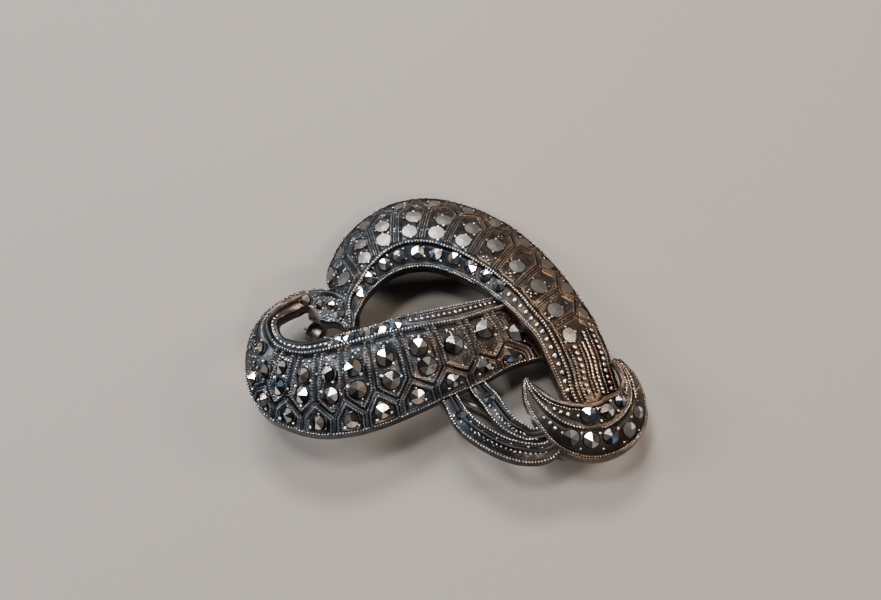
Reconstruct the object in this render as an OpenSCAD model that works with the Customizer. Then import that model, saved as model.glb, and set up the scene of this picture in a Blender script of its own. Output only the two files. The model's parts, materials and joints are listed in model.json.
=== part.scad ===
// Marcasite brooch: an open scroll of cast oxidised silver, set with round cut
// marcasites, with a hinged pin and a hook catch on its dished back.
// The scroll is drawn in its own plane, face up, and is laid on its feet last.

/* [Scroll] */
// Thickness of the cast silver wall
wall = 1.0; // [0.8:0.05:1.2]
// How much the outer slope of a band rounds over, 0 is a straight slope
bow = 0.75; // [0.5:0.05:0.9]
// Height of the milled rails along the bands
rail_h = 0.28; // [0.15:0.01:0.35]
// Height of the raised ridges between the cells
ridge_h = 0.26; // [0.15:0.01:0.35]
// Width of a ridge at its foot
ridge_w = 0.62; // [0.4:0.02:0.8]

/* [Stones] */
// Size of the stones, as a part of the diameters in their tables
stone_size = 1; // [0.9:0.01:1]
// Diameter of the stones in the arch's border strip
border_d = 1.42; // [1.2:0.02:1.5]
// Height of a stone, as a part of its diameter
stone_rise = 0.36; // [0.3:0.01:0.42]
// Clearance between a stone's flat back and the silver
stone_gap = 0.05; // [0.04:0.01:0.1]
// Clearance round a stone in the seat cut for it
seat_gap = 0.09; // [0.08:0.01:0.1]

/* [Pin] */
// Diameter of the pin's stem
stem_d = 0.8; // [0.7:0.05:0.9]
// Diameter of the hinge rivet
rivet_d = 0.9; // [0.7:0.05:1.0]
// Running clearance round the rivet
rivet_gap = 0.04; // [0.03:0.01:0.08]
// Diameter of the round ears of the hinge
ear_d = 3.0; // [2.6:0.1:3.2]
// Inner diameter of the hook catch
hook_d = 1.5; // [1.3:0.05:1.7]

/* [Hidden] */
round_n = 48;

// A band's row is one section across it. x and y place its main rail, aim is the
// plan direction of its outer side, strip and field are the widths inside and
// outside the rail, and the last three are the heights of edge, rail and rim.
X = 0;
Y = 1;
AIM = 2;
STRIP = 3;
FIELD = 4;
Z_EDGE = 5;
Z_RAIL = 6;
Z_RIM = 7;

// The front band, from under the arch, round the left lobe and over the small loop
BAND = [
    // x, y, aim, strip, field, z_edge, z_rail, z_rim
    [7.7, -2.8, -52, 1.9, 6.8, 3.0, 3.3, 1.6],
    [5.0, -4.5, -57, 2.1, 5.4, 4.2, 4.6, 1.2],
    [2.1, -6.0, -62, 2.4, 5.5, 5.0, 5.3, 1.0],
    [-1.1, -7.0, -67, 2.2, 6.0, 5.6, 5.8, 1.0],
    [-4.3, -7.8, -72, 1.9, 6.8, 6.0, 6.0, 1.0],
    [-7.1, -8.6, -79, 1.6, 7.4, 6.0, 6.0, 1.0],
    [-9.6, -9.3, -87, 1.7, 7.6, 5.8, 5.8, 1.0],
    [-12.0, -9.8, -94, 1.7, 7.3, 5.4, 5.4, 1.0],
    [-14.2, -9.9, -102, 1.6, 6.5, 5.0, 5.0, 1.0],
    [-15.9, -9.4, -111, 1.6, 5.9, 4.6, 4.8, 1.0],
    [-17.2, -8.5, -122, 1.5, 4.8, 4.2, 4.6, 1.0],
    [-18.0, -7.1, -137, 1.4, 3.7, 4.0, 4.4, 1.0],
    [-18.4, -5.7, -159, 1.4, 2.7, 3.8, 4.2, 1.0],
    [-18.1, -4.5, -190, 1.4, 2.3, 3.6, 4.0, 1.0],
    [-17.4, -3.5, -213, 1.4, 2.2, 3.4, 3.8, 1.0],
    [-16.3, -2.5, -228, 1.4, 2.2, 3.0, 3.6, 1.0],
    [-15.0, -1.6, -244, 1.5, 2.1, 2.8, 3.4, 1.0],
    [-13.4, -1.1, -264, 3.4, 1.7, 2.8, 3.3, 1.2],
    [-11.5, -1.3, -290, 3.7, 1.3, 2.8, 3.3, 1.6],
    [-9.9, -2.6, -312, 3.2, 0.9, 2.8, 3.3, 2.0],
    [-9.3, -4.8, -345, 1.6, 0.6, 3.0, 3.3, 2.4],
    [-9.7, -6.0, -352, 0.5, 0.4, 2.9, 3.1, 2.6]];

// The arch, from its pointed left foot over the top and down to the cap
ARCH = [
    // x, y, aim, strip, field, z_edge, z_rail, z_rim
    [-9.7, -5.8, 150, 0.5, 0.7, 3.2, 3.4, 3.0],
    [-9.9, -3.6, 133, 1.2, 2.0, 3.2, 3.6, 2.4],
    [-9.8, -2.1, 128, 1.7, 4.9, 3.2, 3.9, 1.4],
    [-9.0, -0.5, 124, 1.6, 6.3, 3.2, 4.2, 1.0],
    [-8.0, 1.4, 117, 2.0, 7.2, 3.2, 4.4, 1.0],
    [-6.3, 3.4, 109, 2.4, 7.9, 3.2, 4.6, 1.0],
    [-4.0, 4.6, 100, 2.6, 8.7, 3.2, 4.8, 1.0],
    [-1.2, 4.7, 90, 2.5, 9.2, 3.2, 4.8, 1.0],
    [1.7, 3.6, 81, 2.3, 9.3, 3.2, 4.8, 1.0],
    [4.4, 1.8, 73, 2.2, 9.2, 3.4, 4.8, 1.0],
    [6.5, -0.2, 65, 2.1, 8.8, 3.8, 5.0, 1.0],
    [8.4, -2.4, 58, 2.0, 8.2, 4.2, 5.2, 1.0],
    [9.8, -4.6, 51, 1.8, 7.7, 4.4, 5.2, 1.0],
    [11.0, -6.4, 47, 1.7, 7.2, 4.4, 5.2, 1.0],
    [11.8, -8.1, 43, 1.7, 7.0, 4.2, 5.0, 1.0],
    [12.5, -9.8, 41, 1.7, 6.7, 3.8, 4.6, 1.0],
    [13.1, -11.5, 38, 1.6, 6.4, 3.4, 4.2, 1.0],
    [13.4, -13.3, 36, 1.2, 6.2, 3.0, 3.8, 1.0],
    [14.2, -15.0, 24, 1.0, 5.2, 2.6, 3.0, 1.0]];

// The crescent cap, from its right end round to its free tip
CAP = [
    // x, y, aim, strip, field, z_edge, z_rail, z_rim
    [18.2, -9.2, 30, 0.3, 0.9, 2.9, 2.8, 1.8],
    [18.9, -10.6, 16, 0.6, 1.6, 3.4, 3.0, 1.2],
    [19.3, -12.4, 0, 0.9, 1.9, 3.8, 3.2, 1.0],
    [19.2, -14.2, -22, 1.6, 2.2, 4.1, 3.2, 1.0],
    [18.3, -15.8, -45, 2.3, 2.4, 4.3, 3.2, 1.0],
    [16.7, -17.0, -68, 2.4, 2.4, 4.4, 3.2, 1.0],
    [14.7, -17.3, -90, 2.2, 2.4, 4.4, 3.2, 1.0],
    [12.6, -16.8, -110, 2.0, 2.2, 4.2, 3.2, 1.5],
    [10.8, -15.4, -130, 1.4, 1.6, 3.9, 3.2, 2.1],
    [9.4, -13.4, -145, 0.9, 1.0, 3.4, 3.1, 2.4],
    [8.7, -11.6, -160, 0.2, 0.3, 3.0, 3.1, 2.8]];

// The two strands that join the band to the cap, from the cap up to the band
OUTER_STRAND = [
    // x, y, aim, strip, field, z_edge, z_rail, z_rim
    [12.4, -17.8, 300, 0.9, 0.9, 2.1, 2.1, 2.0],
    [10.6, -18.9, 280, 0.9, 0.9, 1.6, 1.6, 1.0],
    [8.4, -19.0, 260, 0.9, 1.0, 1.8, 1.8, 1.0],
    [6.2, -18.3, 243, 0.9, 1.0, 1.7, 1.7, 1.0],
    [3.9, -16.9, 230, 0.9, 1.0, 1.7, 1.7, 1.0],
    [2.3, -15.3, 222, 0.9, 1.0, 1.6, 1.6, 1.0],
    [1.3, -13.4, 215, 0.9, 0.9, 1.2, 1.2, 0.9],
    [0.7, -12.1, 212, 0.9, 0.9, 0.9, 0.9, 0.8]];
INNER_STRAND = [
    // x, y, aim, strip, field, z_edge, z_rail, z_rim
    [12.0, -16.9, 285, 0.5, 0.5, 2.3, 2.4, 2.1],
    [9.3, -17.4, 255, 0.7, 0.6, 2.0, 2.1, 1.8],
    [8.1, -17.0, 235, 0.8, 0.7, 2.2, 2.3, 1.8],
    [6.9, -16.2, 222, 0.9, 0.8, 2.2, 2.3, 1.8],
    [5.9, -14.9, 213, 1.0, 0.9, 2.2, 2.3, 1.8],
    [5.1, -13.4, 211, 1.1, 0.9, 1.8, 1.9, 1.5],
    [4.2, -12.0, 213, 1.1, 1.0, 1.2, 1.2, 1.1],
    [3.6, -10.9, 215, 1.0, 0.9, 0.9, 0.9, 0.85]];

// A place on a band is t, counted in rows along it, and w, which is -1 at the
// inner edge, 0 on the main rail and 1 at the outer rim.
T = 0;
W = 1;
SIZE = 2;

// Stones in the cells of the arch
ARCH_CELLS = [
    // t, w, diameter
    [2.3, 0.82, 1.7], [2.59, 0.34, 1.75], [4.3, 0.46, 1.5], [4.12, 0.17, 1.5], [5.34, 0.46, 1.7],
    [5.2, 0.18, 1.7], [6.47, 0.45, 1.9], [6.26, 0.16, 1.7], [7.43, 0.42, 1.85], [7.24, 0.15, 1.8],
    [8.36, 0.45, 1.8], [8.19, 0.17, 1.75], [9.25, 0.37, 1.95], [10.33, 0.3, 1.8],
    [11.44, 0.32, 1.95], [12.75, 0.29, 1.85], [14.26, 0.27, 1.65]];
// Stones in the half cells along the arch's rim
ARCH_RIM = [
    // t, w, diameter
    [3.45, 0.79, 1.5], [4.82, 0.8, 1.5], [6.12, 0.79, 1.5], [7.12, 0.79, 1.5], [8.07, 0.83, 1.5],
    [8.92, 0.84, 1.5], [10.0, 0.82, 1.55], [10.99, 0.82, 1.55], [12.07, 0.82, 1.6],
    [13.5, 0.78, 1.6]];
// Stones in the border strip round the large opening
ARCH_BORDER = [
    // t, w
    [2.92, -0.44], [3.9, -0.45], [4.86, -0.46], [5.64, -0.45], [6.5, -0.44],
    [7.25, -0.44], [7.99, -0.38], [8.65, -0.37], [9.35, -0.37], [10.1, -0.36]];
// Stones in the cells of the front band
BAND_CELLS = [
    // t, w, diameter
    [9.7, 0.5, 1.5], [8.87, 0.27, 1.45], [8.67, 0.55, 1.6], [7.7, 0.32, 1.6], [7.65, 0.57, 1.75],
    [6.75, 0.32, 1.7], [6.57, 0.58, 1.75], [5.76, 0.31, 1.75], [5.66, 0.57, 1.8],
    [4.66, 0.3, 1.75], [4.6, 0.58, 1.85], [3.55, 0.29, 1.8], [3.45, 0.555, 1.9],
    [2.53, 0.38, 1.95], [1.42, 0.295, 2.0], [0.57, 0.51, 1.9]];
// Stones in the half cells along the front band's rim
BAND_RIM = [
    // t, w, diameter
    [10.25, 0.79, 1.5], [9.23, 0.82, 1.35], [8.07, 0.85, 1.5], [6.97, 0.86, 1.5], [5.93, 0.87, 1.5],
    [5.01, 0.86, 1.55], [3.96, 0.85, 1.6], [2.87, 0.835, 1.45], [1.89, 0.8, 1.6], [1.02, 0.825, 1.6]];
// Stones in the front band's border strip
BAND_BORDER = [
    // t, w, diameter
    [6.43, -0.51, 1.15], [5.86, -0.51, 1.2], [5.2, -0.52, 1.2], [4.6, -0.51, 1.2], [4.02, -0.51, 1.2]];
// Stones on the small loop, and one on the lobe before it
LOOP = [
    // t, w, diameter
    [15.93, -0.4, 1.5], [17.0, -0.44, 1.15], [18.05, -0.4, 1.1], [19.0, -0.44, 1.4],
    [10.7, 0.33, 1.2]];
// Stones in the two rows of the cap
CAP_ROWS = [
    // t, w, diameter
    [6.0, -0.53, 1.6], [4.75, -0.51, 1.45], [3.5, -0.48, 1.25], [6.69, 0.45, 1.65],
    [5.89, 0.41, 1.6], [5.06, 0.38, 1.55], [4.2, 0.52, 1.5], [3.3, 0.47, 1.25]];
// The large stone of each strand
OUTER_STONE = [5.15, -0.1, 1.15];
INNER_STONE = [4.95, 0.05, 1.2];

// Height of a stone's girdle and width of its table, as parts of the whole
girdle_part = 0.3;
table_part = 0.24;
// Corners of the girdle, of the table and of the seat
girdle_n = 12;
table_n = 6;
seat_n = 8;

// How much a seat is turned towards the eye from the slope of the face, and how
// much further to the left the seats at the left end of the brooch are
seat_level = 0.4;
eye_aim = [0, -0.25, 0.97];
left_lean = 0.6;
left_from = -8.5;
left_over = 3.5;
// How far a leaning stone is sunk, as a part of its diameter
lean_sink = 0.2;

// How deep a ridge is rooted in the silver
ridge_root = 0.15;
// Places along a band where a ridge parts two cells: its foot on the main rail,
// its fork, and the middle of the half cell outside the fork
FOOT = 0;
FORK = 1;
HALF = 2;
ARCH_RIDGES = [
    // foot, fork, half cell
    [3.25, 3.45, 3.45], [4.62, 4.82, 4.82], [5.6, 5.93, 6.1], [6.65, 6.95, 7.1], [7.6, 7.9, 8.05],
    [8.6, 8.85, 8.92], [9.68, 9.87, 9.98], [10.8, 10.92, 10.98], [12.0, 12.05, 12.07],
    [13.42, 13.45, 13.48]];
BAND_RIDGES = [
    // foot, fork, half cell
    [9.35, 9.35, 9.25], [8.25, 8.22, 8.08], [7.15, 7.12, 6.97], [6.15, 6.12, 5.94],
    [5.12, 5.12, 5.01], [4.05, 4.05, 3.96], [3.0, 3.0, 2.87], [1.95, 1.95, 1.89],
    [0.98, 0.98, 1.02]];
// Where along a ridge it starts, bends, forks, meets the next fork and ends
RIDGE_W = [0.06, 0.34, 0.63, 0.82, 0.97];

// Section of the face: w across the band, and the lift of its two rails
FACE = [
    // w, lift as a part of rail_h
    [-1, 0], [-0.9, 1], [-0.76, 1], [-0.7, 0], [-0.22, 0], [-0.14, 1], [0.01, 1],
    [0.05, 0], [0.4, 0], [0.7, 0], [0.93, 0.5], [1, 0]];
// Section of the dished back, from the rim to the inner edge
BACK = [1, 0.6, 0, -1];
// Sections of a narrow strand
STRAND_FACE = [
    // w, lift as a part of rail_h
    [-1, 0], [-0.8, 1], [-0.55, 0], [0.55, 0], [0.8, 1], [1, 0]];
STRAND_BACK = [1, -1];
// Sections from one row to the next, and on the band that turns tightly at the loop
steps = 2;
loop_steps = 3;

// The pin lies on the line from hinge to catch, both under the back
hinge_at = [12.5, -16.8];
catch_at = [-14.0, -3.3];
pin_run = catch_at - hinge_at;
pin_aim = atan2(pin_run[Y], pin_run[X]);
pin_len = norm(pin_run);
pivot_z = -1.5;
stem_z = -1.95;

// The pin: an eye on the rivet, a tapered neck that starts inside it, a stem and a
// long point
eye_w = 1.1;
eye_d = ear_d * 0.8;
stem_r = stem_d / 2;
stem_from = 0.7;
root_r = 0.5;
root_len = 1.5;
tip_len = 4.5;
tip_r = 0.12;
tip_past = 1.6;

// The hinge: two ears on a foot plate, and the rivet's heads outside them
ear_w = 0.55;
ear_gap = 0.06;
neck_w = ear_d * 0.8;
head_d = rivet_d * 1.35;
head_top_d = rivet_d * 0.8;
head_h = 0.25;
bore_d = rivet_d + 2 * rivet_gap;
bore_len = 8;

// The hook, its mouth and the neck that stands on its foot plate
hook_w = 1.6;
hook_wall = 0.38;
hook_r = hook_d / 2 + hook_wall;
mouth_w = hook_d * 0.72;

// The foot plates, and the solder pads of the scroll above them
foot_h = 0.5;
foot_top = 0.75;
foot_long = 3.0;
foot_wide = 2.5;
hook_foot_wide = 1.9;
pad_gap = 0.05;
pad_bottom = foot_top + pad_gap;
pad_h = 0.5;
pad_margin = 0.2;
pad_top = 2.6;
pad_top_w = 1.2;

function unit(v) = v / norm(v);

// Row k of a table between its rows, as a smooth curve through them
function at(rows, i) = rows[min(max(i, 0), len(rows) - 1)];
function blend(a, b, c, d, u) =
    ((2 * b) + (c - a) * u + (2 * a - 5 * b + 4 * c - d) * u * u
        + (3 * b - a - 3 * c + d) * u * u * u) / 2;
function row_at(rows, t) =
    let (s = min(max(t, 0), len(rows) - 1.0001), i = floor(s))
    blend(at(rows, i - 1), at(rows, i), at(rows, i + 1), at(rows, i + 2), s - i);

// The point of a band's face at t and w, lifted by up
function face(rows, t, w, up = 0) =
    let (r = row_at(rows, t),
        reach = w < 0 ? w * r[STRIP] : w * r[FIELD],
        z = w < 0 ? r[Z_RAIL] + (r[Z_RAIL] - r[Z_EDGE]) * w
            : r[Z_RAIL] - (r[Z_RAIL] - r[Z_RIM]) * ((1 - bow) * w + bow * w * w))
    [r[X] + cos(r[AIM]) * reach, r[Y] + sin(r[AIM]) * reach, z + up];

// Directions of a band's face at t and w: along it, and out of it
step = 0.02;
function along(rows, t, w) = unit(face(rows, t + step, w) - face(rows, t - step, w));
function across(rows, t, w) =
    let (a = w < 0 ? w : w - step)
    unit(face(rows, t, a + step) - face(rows, t, a));
function out_of(rows, t, w) = unit(cross(along(rows, t, w), across(rows, t, w)));

// It lies on an ear of its hinge, on its hook and on one place of the arch's rim.
// Each pass finds the lowest point of the three for a floor, and the floor on them.
pin_dir = unit([pin_run[X], pin_run[Y], 0]);
rivet_dir = [-pin_dir[Y], pin_dir[X], 0];
rim_points = [for (t = [4:0.25:11]) face(ARCH, t, 1, -wall)];
function drum_foot(centre, axis, half, r, up) =
    centre - unit(up - (up * axis) * axis) * r - axis * half * sign(up * axis);
function ear_foot(up) =
    drum_foot([hinge_at[X], hinge_at[Y], pivot_z], rivet_dir, eye_w / 2 + ear_gap + ear_w, ear_d / 2, up);
function hook_foot(up) =
    drum_foot([catch_at[X], catch_at[Y], stem_z], pin_dir, hook_w / 2, hook_r, up);
function rim_foot(up) =
    let (low = min([for (p = rim_points) p * up]))
    [for (p = rim_points) if (p * up == low) p][0];
function floor_on(up) =
    let (n = unit(cross(ear_foot(up) - hook_foot(up), rim_foot(up) - hook_foot(up))))
    n[2] < 0 ? -n : n;
floor_up = floor_on(floor_on(floor_on([0, 0, 1])));
lean = acos(floor_up[2]);
lean_axis = cross(floor_up, [0, 0, 1]);
floor_drop = floor_up * hook_foot(floor_up);
// Where the middle of the box that it fills would be without these
centre_x = 0.28;
centre_y = -2.99;

// The way a stone's axis points at t and w, and how far that sinks it
function seat_up(rows, t, w) =
    let (left = min(max((left_from - face(rows, t, w)[X]) / left_over, 0), 1))
    unit(out_of(rows, t, w) + seat_level * eye_aim + left_lean * left * [-1, 0, 0]);
function sink(rows, p, d) =
    lean_sink * d * norm(cross(out_of(rows, p[T], p[W]), seat_up(rows, p[T], p[W])));

// Puts its children on a band at t and w, with +Z along z and +X along the band
module on_band(rows, t, w, z, up) {
    o = face(rows, t, w);
    y = unit(cross(z, along(rows, t, w)));
    x = cross(y, z);
    multmatrix([[x[0], y[0], z[0], o[0]], [x[1], y[1], z[1], o[1]], [x[2], y[2], z[2], o[2]],
        [0, 0, 0, 1]])
        translate([0, 0, up])
            children();
}

// A cast band: one section after another along its rows, each ring closed
module cast_band(rows, face_w, back_w, per_row) {
    n = (len(rows) - 1) * per_row;
    ring = [for (f = face_w) f[0], for (b = back_w) b];
    lift = [for (f = face_w) f[1] * rail_h, for (b = back_w) -wall];
    m = len(ring);
    points = [for (i = [0:n], k = [0:m - 1]) face(rows, i / per_row, ring[k], lift[k])];
    sides = [for (i = [0:n - 1], k = [0:m - 1])
        let (a = i * m + k, b = i * m + (k + 1) % m, c = a + m, d = b + m)
        each [[a, b, c], [b, d, c]]];
    caps = [[for (k = [m - 1:-1:0]) k], [for (k = [0:m - 1]) n * m + k]];
    polyhedron(points, concat(sides, caps), convexity = 8);
}

// One straight stretch of a raised ridge, between two places on a face
module ridge(rows, a, b) {
    hull() {
        ridge_end(rows, a);
        ridge_end(rows, b);
    }
}
module ridge_end(rows, p) {
    on_band(rows, p[T], p[W], out_of(rows, p[T], p[W]), -ridge_root)
        cylinder(h = ridge_root + ridge_h, d1 = ridge_w, d2 = ridge_w / 2, $fn = 4);
}

// The ridges of a band's cells: stems between the cells, a fork at the end of
// each stem, and a short ridge from where two forks meet to the rim
module cell_ridges(rows, places) {
    for (i = [0:len(places) - 1]) {
        p = places[i];
        bend = (p[FOOT] + p[FORK]) / 2;
        ridge(rows, [p[FOOT], RIDGE_W[0]], [bend, RIDGE_W[1]]);
        ridge(rows, [bend, RIDGE_W[1]], [p[FORK], RIDGE_W[2]]);
        if (i < len(places) - 1) {
            next = places[i + 1];
            meet = (p[HALF] + next[HALF]) / 2;
            ridge(rows, [p[FORK], RIDGE_W[2]], [meet, RIDGE_W[3]]);
            ridge(rows, [meet, RIDGE_W[3]], [next[FORK], RIDGE_W[2]]);
            ridge(rows, [meet, RIDGE_W[3]], [meet, RIDGE_W[4]]);
        }
    }
}

// A round marcasite: flat back, short girdle, six facets and a small table
module stone(d) {
    h = d * stone_rise;
    hull() {
        cylinder(h = h * girdle_part, d = d, $fn = girdle_n);
        rotate(180 / girdle_n)
            cylinder(h = h, d = d * table_part, $fn = table_n);
    }
}

// The diameter of the stone at a place, from its table or given for the field
function size_of(p, d) = (d > 0 ? d : p[SIZE]) * stone_size;

// A field of stones of one size, or of the size in a third column
module stones(rows, places, d = 0) {
    color("gainsboro")
        laid()
            for (p = places) {
                stone_d = size_of(p, d);
                on_band(rows, p[T], p[W], seat_up(rows, p[T], p[W]), stone_gap - sink(rows, p, stone_d))
                    stone(stone_d);
            }
}

// The seats of a field of stones, cut through the beading and the ridges
module seats(rows, places, d = 0) {
    for (p = places) {
        stone_d = size_of(p, d);
        seat_d = stone_d + 2 * seat_gap;
        on_band(rows, p[T], p[W], seat_up(rows, p[T], p[W]), stone_gap / 2 - sink(rows, p, stone_d))
            cylinder(h = seat_d, d = seat_d, $fn = seat_n);
    }
}

// Lays the finished brooch on the floor, on its three feet
module laid() {
    translate([-centre_x, -centre_y, -floor_drop])
        rotate(a = lean, v = lean_axis)
            children();
}

// Puts its children at the hinge, with +X along the pin and +Y along the rivet
module at_hinge() {
    translate([hinge_at[X], hinge_at[Y], 0])
        rotate(pin_aim)
            children();
}

module scroll() {
    color("dimgray")
        laid()
            difference() {
                union() {
                    cast_band(BAND, FACE, BACK, loop_steps);
                    cast_band(ARCH, FACE, BACK, steps);
                    cast_band(CAP, FACE, BACK, steps);
                    cast_band(OUTER_STRAND, STRAND_FACE, STRAND_BACK, steps);
                    cast_band(INNER_STRAND, STRAND_FACE, STRAND_BACK, steps);
                    cell_ridges(ARCH, ARCH_RIDGES);
                    cell_ridges(BAND, BAND_RIDGES);
                    solder_pads();
                }
                all_seats();
            }
}

module all_seats() {
    seats(ARCH, ARCH_CELLS);
    seats(ARCH, ARCH_RIM);
    seats(ARCH, ARCH_BORDER, border_d);
    seats(BAND, BAND_CELLS);
    seats(BAND, BAND_RIM);
    seats(BAND, BAND_BORDER);
    seats(BAND, LOOP);
    seats(CAP, CAP_ROWS);
    seats(OUTER_STRAND, [OUTER_STONE]);
    seats(INNER_STRAND, [INNER_STONE]);
}

// Solid silver under the cap and the loop, which the findings are soldered to
module solder_pads() {
    at_hinge() {
        solder_pad(0, 0, foot_long - 2 * pad_margin, foot_wide - 2 * pad_margin);
        solder_pad(pin_len, -hook_r, hook_w, hook_foot_wide);
    }
}
module solder_pad(x, y, long, wide) {
    hull() {
        translate([x - long / 2, y - wide / 2, pad_bottom])
            cube([long, wide, pad_h]);
        translate([x - pad_top_w / 2, y - pad_top_w / 2, pad_bottom])
            cube([pad_top_w, pad_top_w, pad_top - pad_bottom]);
    }
}

module hinge_bracket() {
    color("silver")
        laid()
            at_hinge()
                difference() {
                    union() {
                        translate([-foot_long / 2, -foot_wide / 2, foot_top - foot_h])
                            cube([foot_long, foot_wide, foot_h]);
                        for (side = [-1, 1])
                            translate([0, side * (eye_w / 2 + ear_gap + ear_w / 2), 0])
                                ear();
                    }
                    translate([0, 0, pivot_z])
                        rotate([90, 0, 0])
                            cylinder(h = bore_len, d = bore_d, center = true, $fn = round_n);
                }
}

// One ear: a round plate with a neck up to the foot plate
module ear() {
    translate([0, 0, pivot_z])
        rotate([90, 0, 0])
            cylinder(h = ear_w, d = ear_d, center = true, $fn = round_n);
    translate([-neck_w / 2, -ear_w / 2, pivot_z])
        cube([neck_w, ear_w, foot_top - foot_h / 2 - pivot_z]);
}

module hinge_rivet() {
    shank = eye_w + 2 * (ear_gap + ear_w + ear_gap);
    color("whitesmoke")
        laid()
            at_hinge()
                translate([0, 0, pivot_z])
                    rotate([90, 0, 0]) {
                        cylinder(h = shank + head_h, d = rivet_d, center = true, $fn = round_n);
                        for (side = [0, 1])
                            mirror([0, 0, side])
                                translate([0, 0, shank / 2])
                                    cylinder(h = head_h, d1 = head_d, d2 = head_top_d, $fn = round_n);
                    }
}

module pin_stem() {
    straight = pin_len + tip_past - tip_len - stem_from;
    color("lightsteelblue")
        laid()
            at_hinge()
                difference() {
                    union() {
                        translate([0, 0, pivot_z])
                            rotate([90, 0, 0])
                                cylinder(h = eye_w, d = eye_d, center = true, $fn = round_n);
                        translate([stem_from, 0, stem_z])
                            rotate([0, 90, 0])
                                rotate_extrude($fn = round_n)
                                    polygon([[0, 0], [root_r, 0], [stem_r, root_len],
                                        [stem_r, straight], [tip_r, straight + tip_len],
                                        [0, straight + tip_len]]);
                    }
                    translate([0, 0, pivot_z])
                        rotate([90, 0, 0])
                            cylinder(h = bore_len, d = bore_d, center = true, $fn = round_n);
                }
}

// A bent strip: a foot, a neck and a hook round the pin, open below
module hook_catch() {
    color("silver")
        laid()
            at_hinge()
                translate([pin_len, 0, 0]) {
                    translate([-hook_w / 2, -hook_r - hook_foot_wide / 2, foot_top - foot_h])
                        cube([hook_w, hook_foot_wide, foot_h]);
                    difference() {
                        translate([0, 0, stem_z])
                            rotate([0, 90, 0])
                                cylinder(h = hook_w, r = hook_r, center = true, $fn = round_n);
                        translate([0, 0, stem_z])
                            rotate([0, 90, 0])
                                cylinder(h = hook_w * 2, r = hook_d / 2, center = true, $fn = round_n);
                        translate([-hook_w, -mouth_w / 2, stem_z - hook_r * 2])
                            cube([hook_w * 2, mouth_w, hook_r * 2]);
                    }
                    translate([-hook_w / 2, -hook_r, stem_z])
                        cube([hook_w, hook_wall, foot_top - foot_h / 2 - stem_z]);
                }
}

module arch_stones() stones(ARCH, ARCH_CELLS);
module arch_rim_stones() stones(ARCH, ARCH_RIM);
module arch_border_stones() stones(ARCH, ARCH_BORDER, border_d);
module band_stones() stones(BAND, BAND_CELLS);
module band_rim_stones() stones(BAND, BAND_RIM);
module band_border_stones() stones(BAND, BAND_BORDER);
module loop_stones() stones(BAND, LOOP);
module cap_stones() stones(CAP, CAP_ROWS);
module strand_stones() {
    stones(OUTER_STRAND, [OUTER_STONE]);
    stones(INNER_STRAND, [INNER_STONE]);
}

scroll();
arch_stones();
arch_rim_stones();
arch_border_stones();
band_stones();
band_rim_stones();
band_border_stones();
loop_stones();
cap_stones();
strand_stones();
hinge_bracket();
hinge_rivet();
pin_stem();
hook_catch();
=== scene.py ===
# %% [markdown]
# # A marcasite brooch
# The brooch is one casting of oxidised silver: an arch, a front band with a small loop, two strands
# and a crescent cap. Round marcasites sit in hexagonal cells, each held by small grains of silver.
# This lesson dresses the plain CAD solids: it casts the same bands again with far more sections,
# lays milled wires along their rails and cells, and cuts a faceted stone for every seat.

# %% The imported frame
import bmesh, bpy, json, math
import numpy as np
from mathutils import Vector, Matrix
from mathutils.kdtree import KDTree


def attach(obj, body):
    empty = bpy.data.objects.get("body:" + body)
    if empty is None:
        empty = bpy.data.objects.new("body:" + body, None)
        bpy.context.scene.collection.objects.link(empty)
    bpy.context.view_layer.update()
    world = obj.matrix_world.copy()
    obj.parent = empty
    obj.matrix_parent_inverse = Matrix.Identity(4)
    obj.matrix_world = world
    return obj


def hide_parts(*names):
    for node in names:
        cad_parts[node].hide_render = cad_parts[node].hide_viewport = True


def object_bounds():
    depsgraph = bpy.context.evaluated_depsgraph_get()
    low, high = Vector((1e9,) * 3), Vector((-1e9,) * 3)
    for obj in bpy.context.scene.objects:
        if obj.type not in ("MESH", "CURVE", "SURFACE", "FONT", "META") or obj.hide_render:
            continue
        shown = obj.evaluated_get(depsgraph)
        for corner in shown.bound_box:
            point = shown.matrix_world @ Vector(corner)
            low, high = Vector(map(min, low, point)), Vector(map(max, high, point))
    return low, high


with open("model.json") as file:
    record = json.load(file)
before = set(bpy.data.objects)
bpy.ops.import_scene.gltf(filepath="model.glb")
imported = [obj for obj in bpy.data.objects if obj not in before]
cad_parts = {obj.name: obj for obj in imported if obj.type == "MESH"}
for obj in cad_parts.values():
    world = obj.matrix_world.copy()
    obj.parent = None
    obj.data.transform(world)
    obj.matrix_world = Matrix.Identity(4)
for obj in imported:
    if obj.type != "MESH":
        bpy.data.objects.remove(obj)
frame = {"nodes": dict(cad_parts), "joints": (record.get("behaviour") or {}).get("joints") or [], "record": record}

cad_box = [[float(v) for v in corner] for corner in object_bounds()]
print("CAD box, mm:", [[round(v * 1000, 2) for v in corner] for corner in cad_box])

# %% [markdown]
# ## From the brooch's own plane to the surface it lies on
# The bands are easiest to describe in the brooch's own plane, face up, in millimetres. The real
# brooch lies tipped on its hinge, its hook and one rim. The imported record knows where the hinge's
# rivet and the pin lie, and these two directions fix the tip exactly, so nothing is fitted by eye.

# %% How the brooch lies
MM = 0.001
HINGE = np.array([12.5, -16.8, -1.5])
CATCH = np.array([-14.0, -3.3, -1.5])

def unit(v):
    v = np.asarray(v, float)
    return v / np.linalg.norm(v, axis=-1, keepdims=True)

def side_by_side(a, b):
    return np.column_stack([a, b, np.cross(a, b)])

pin_way = unit(CATCH - HINGE)
rivet_way = np.array([-pin_way[1], pin_way[0], 0.0])
joint = frame["joints"][0]
mount = frame["record"]["mounts"][0]
turn = side_by_side(unit(mount["axis"]), unit(joint["axis"])) @ side_by_side(pin_way, rivet_way).T
shift = np.array(joint["pos_m"]) / MM - turn @ HINGE

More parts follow.
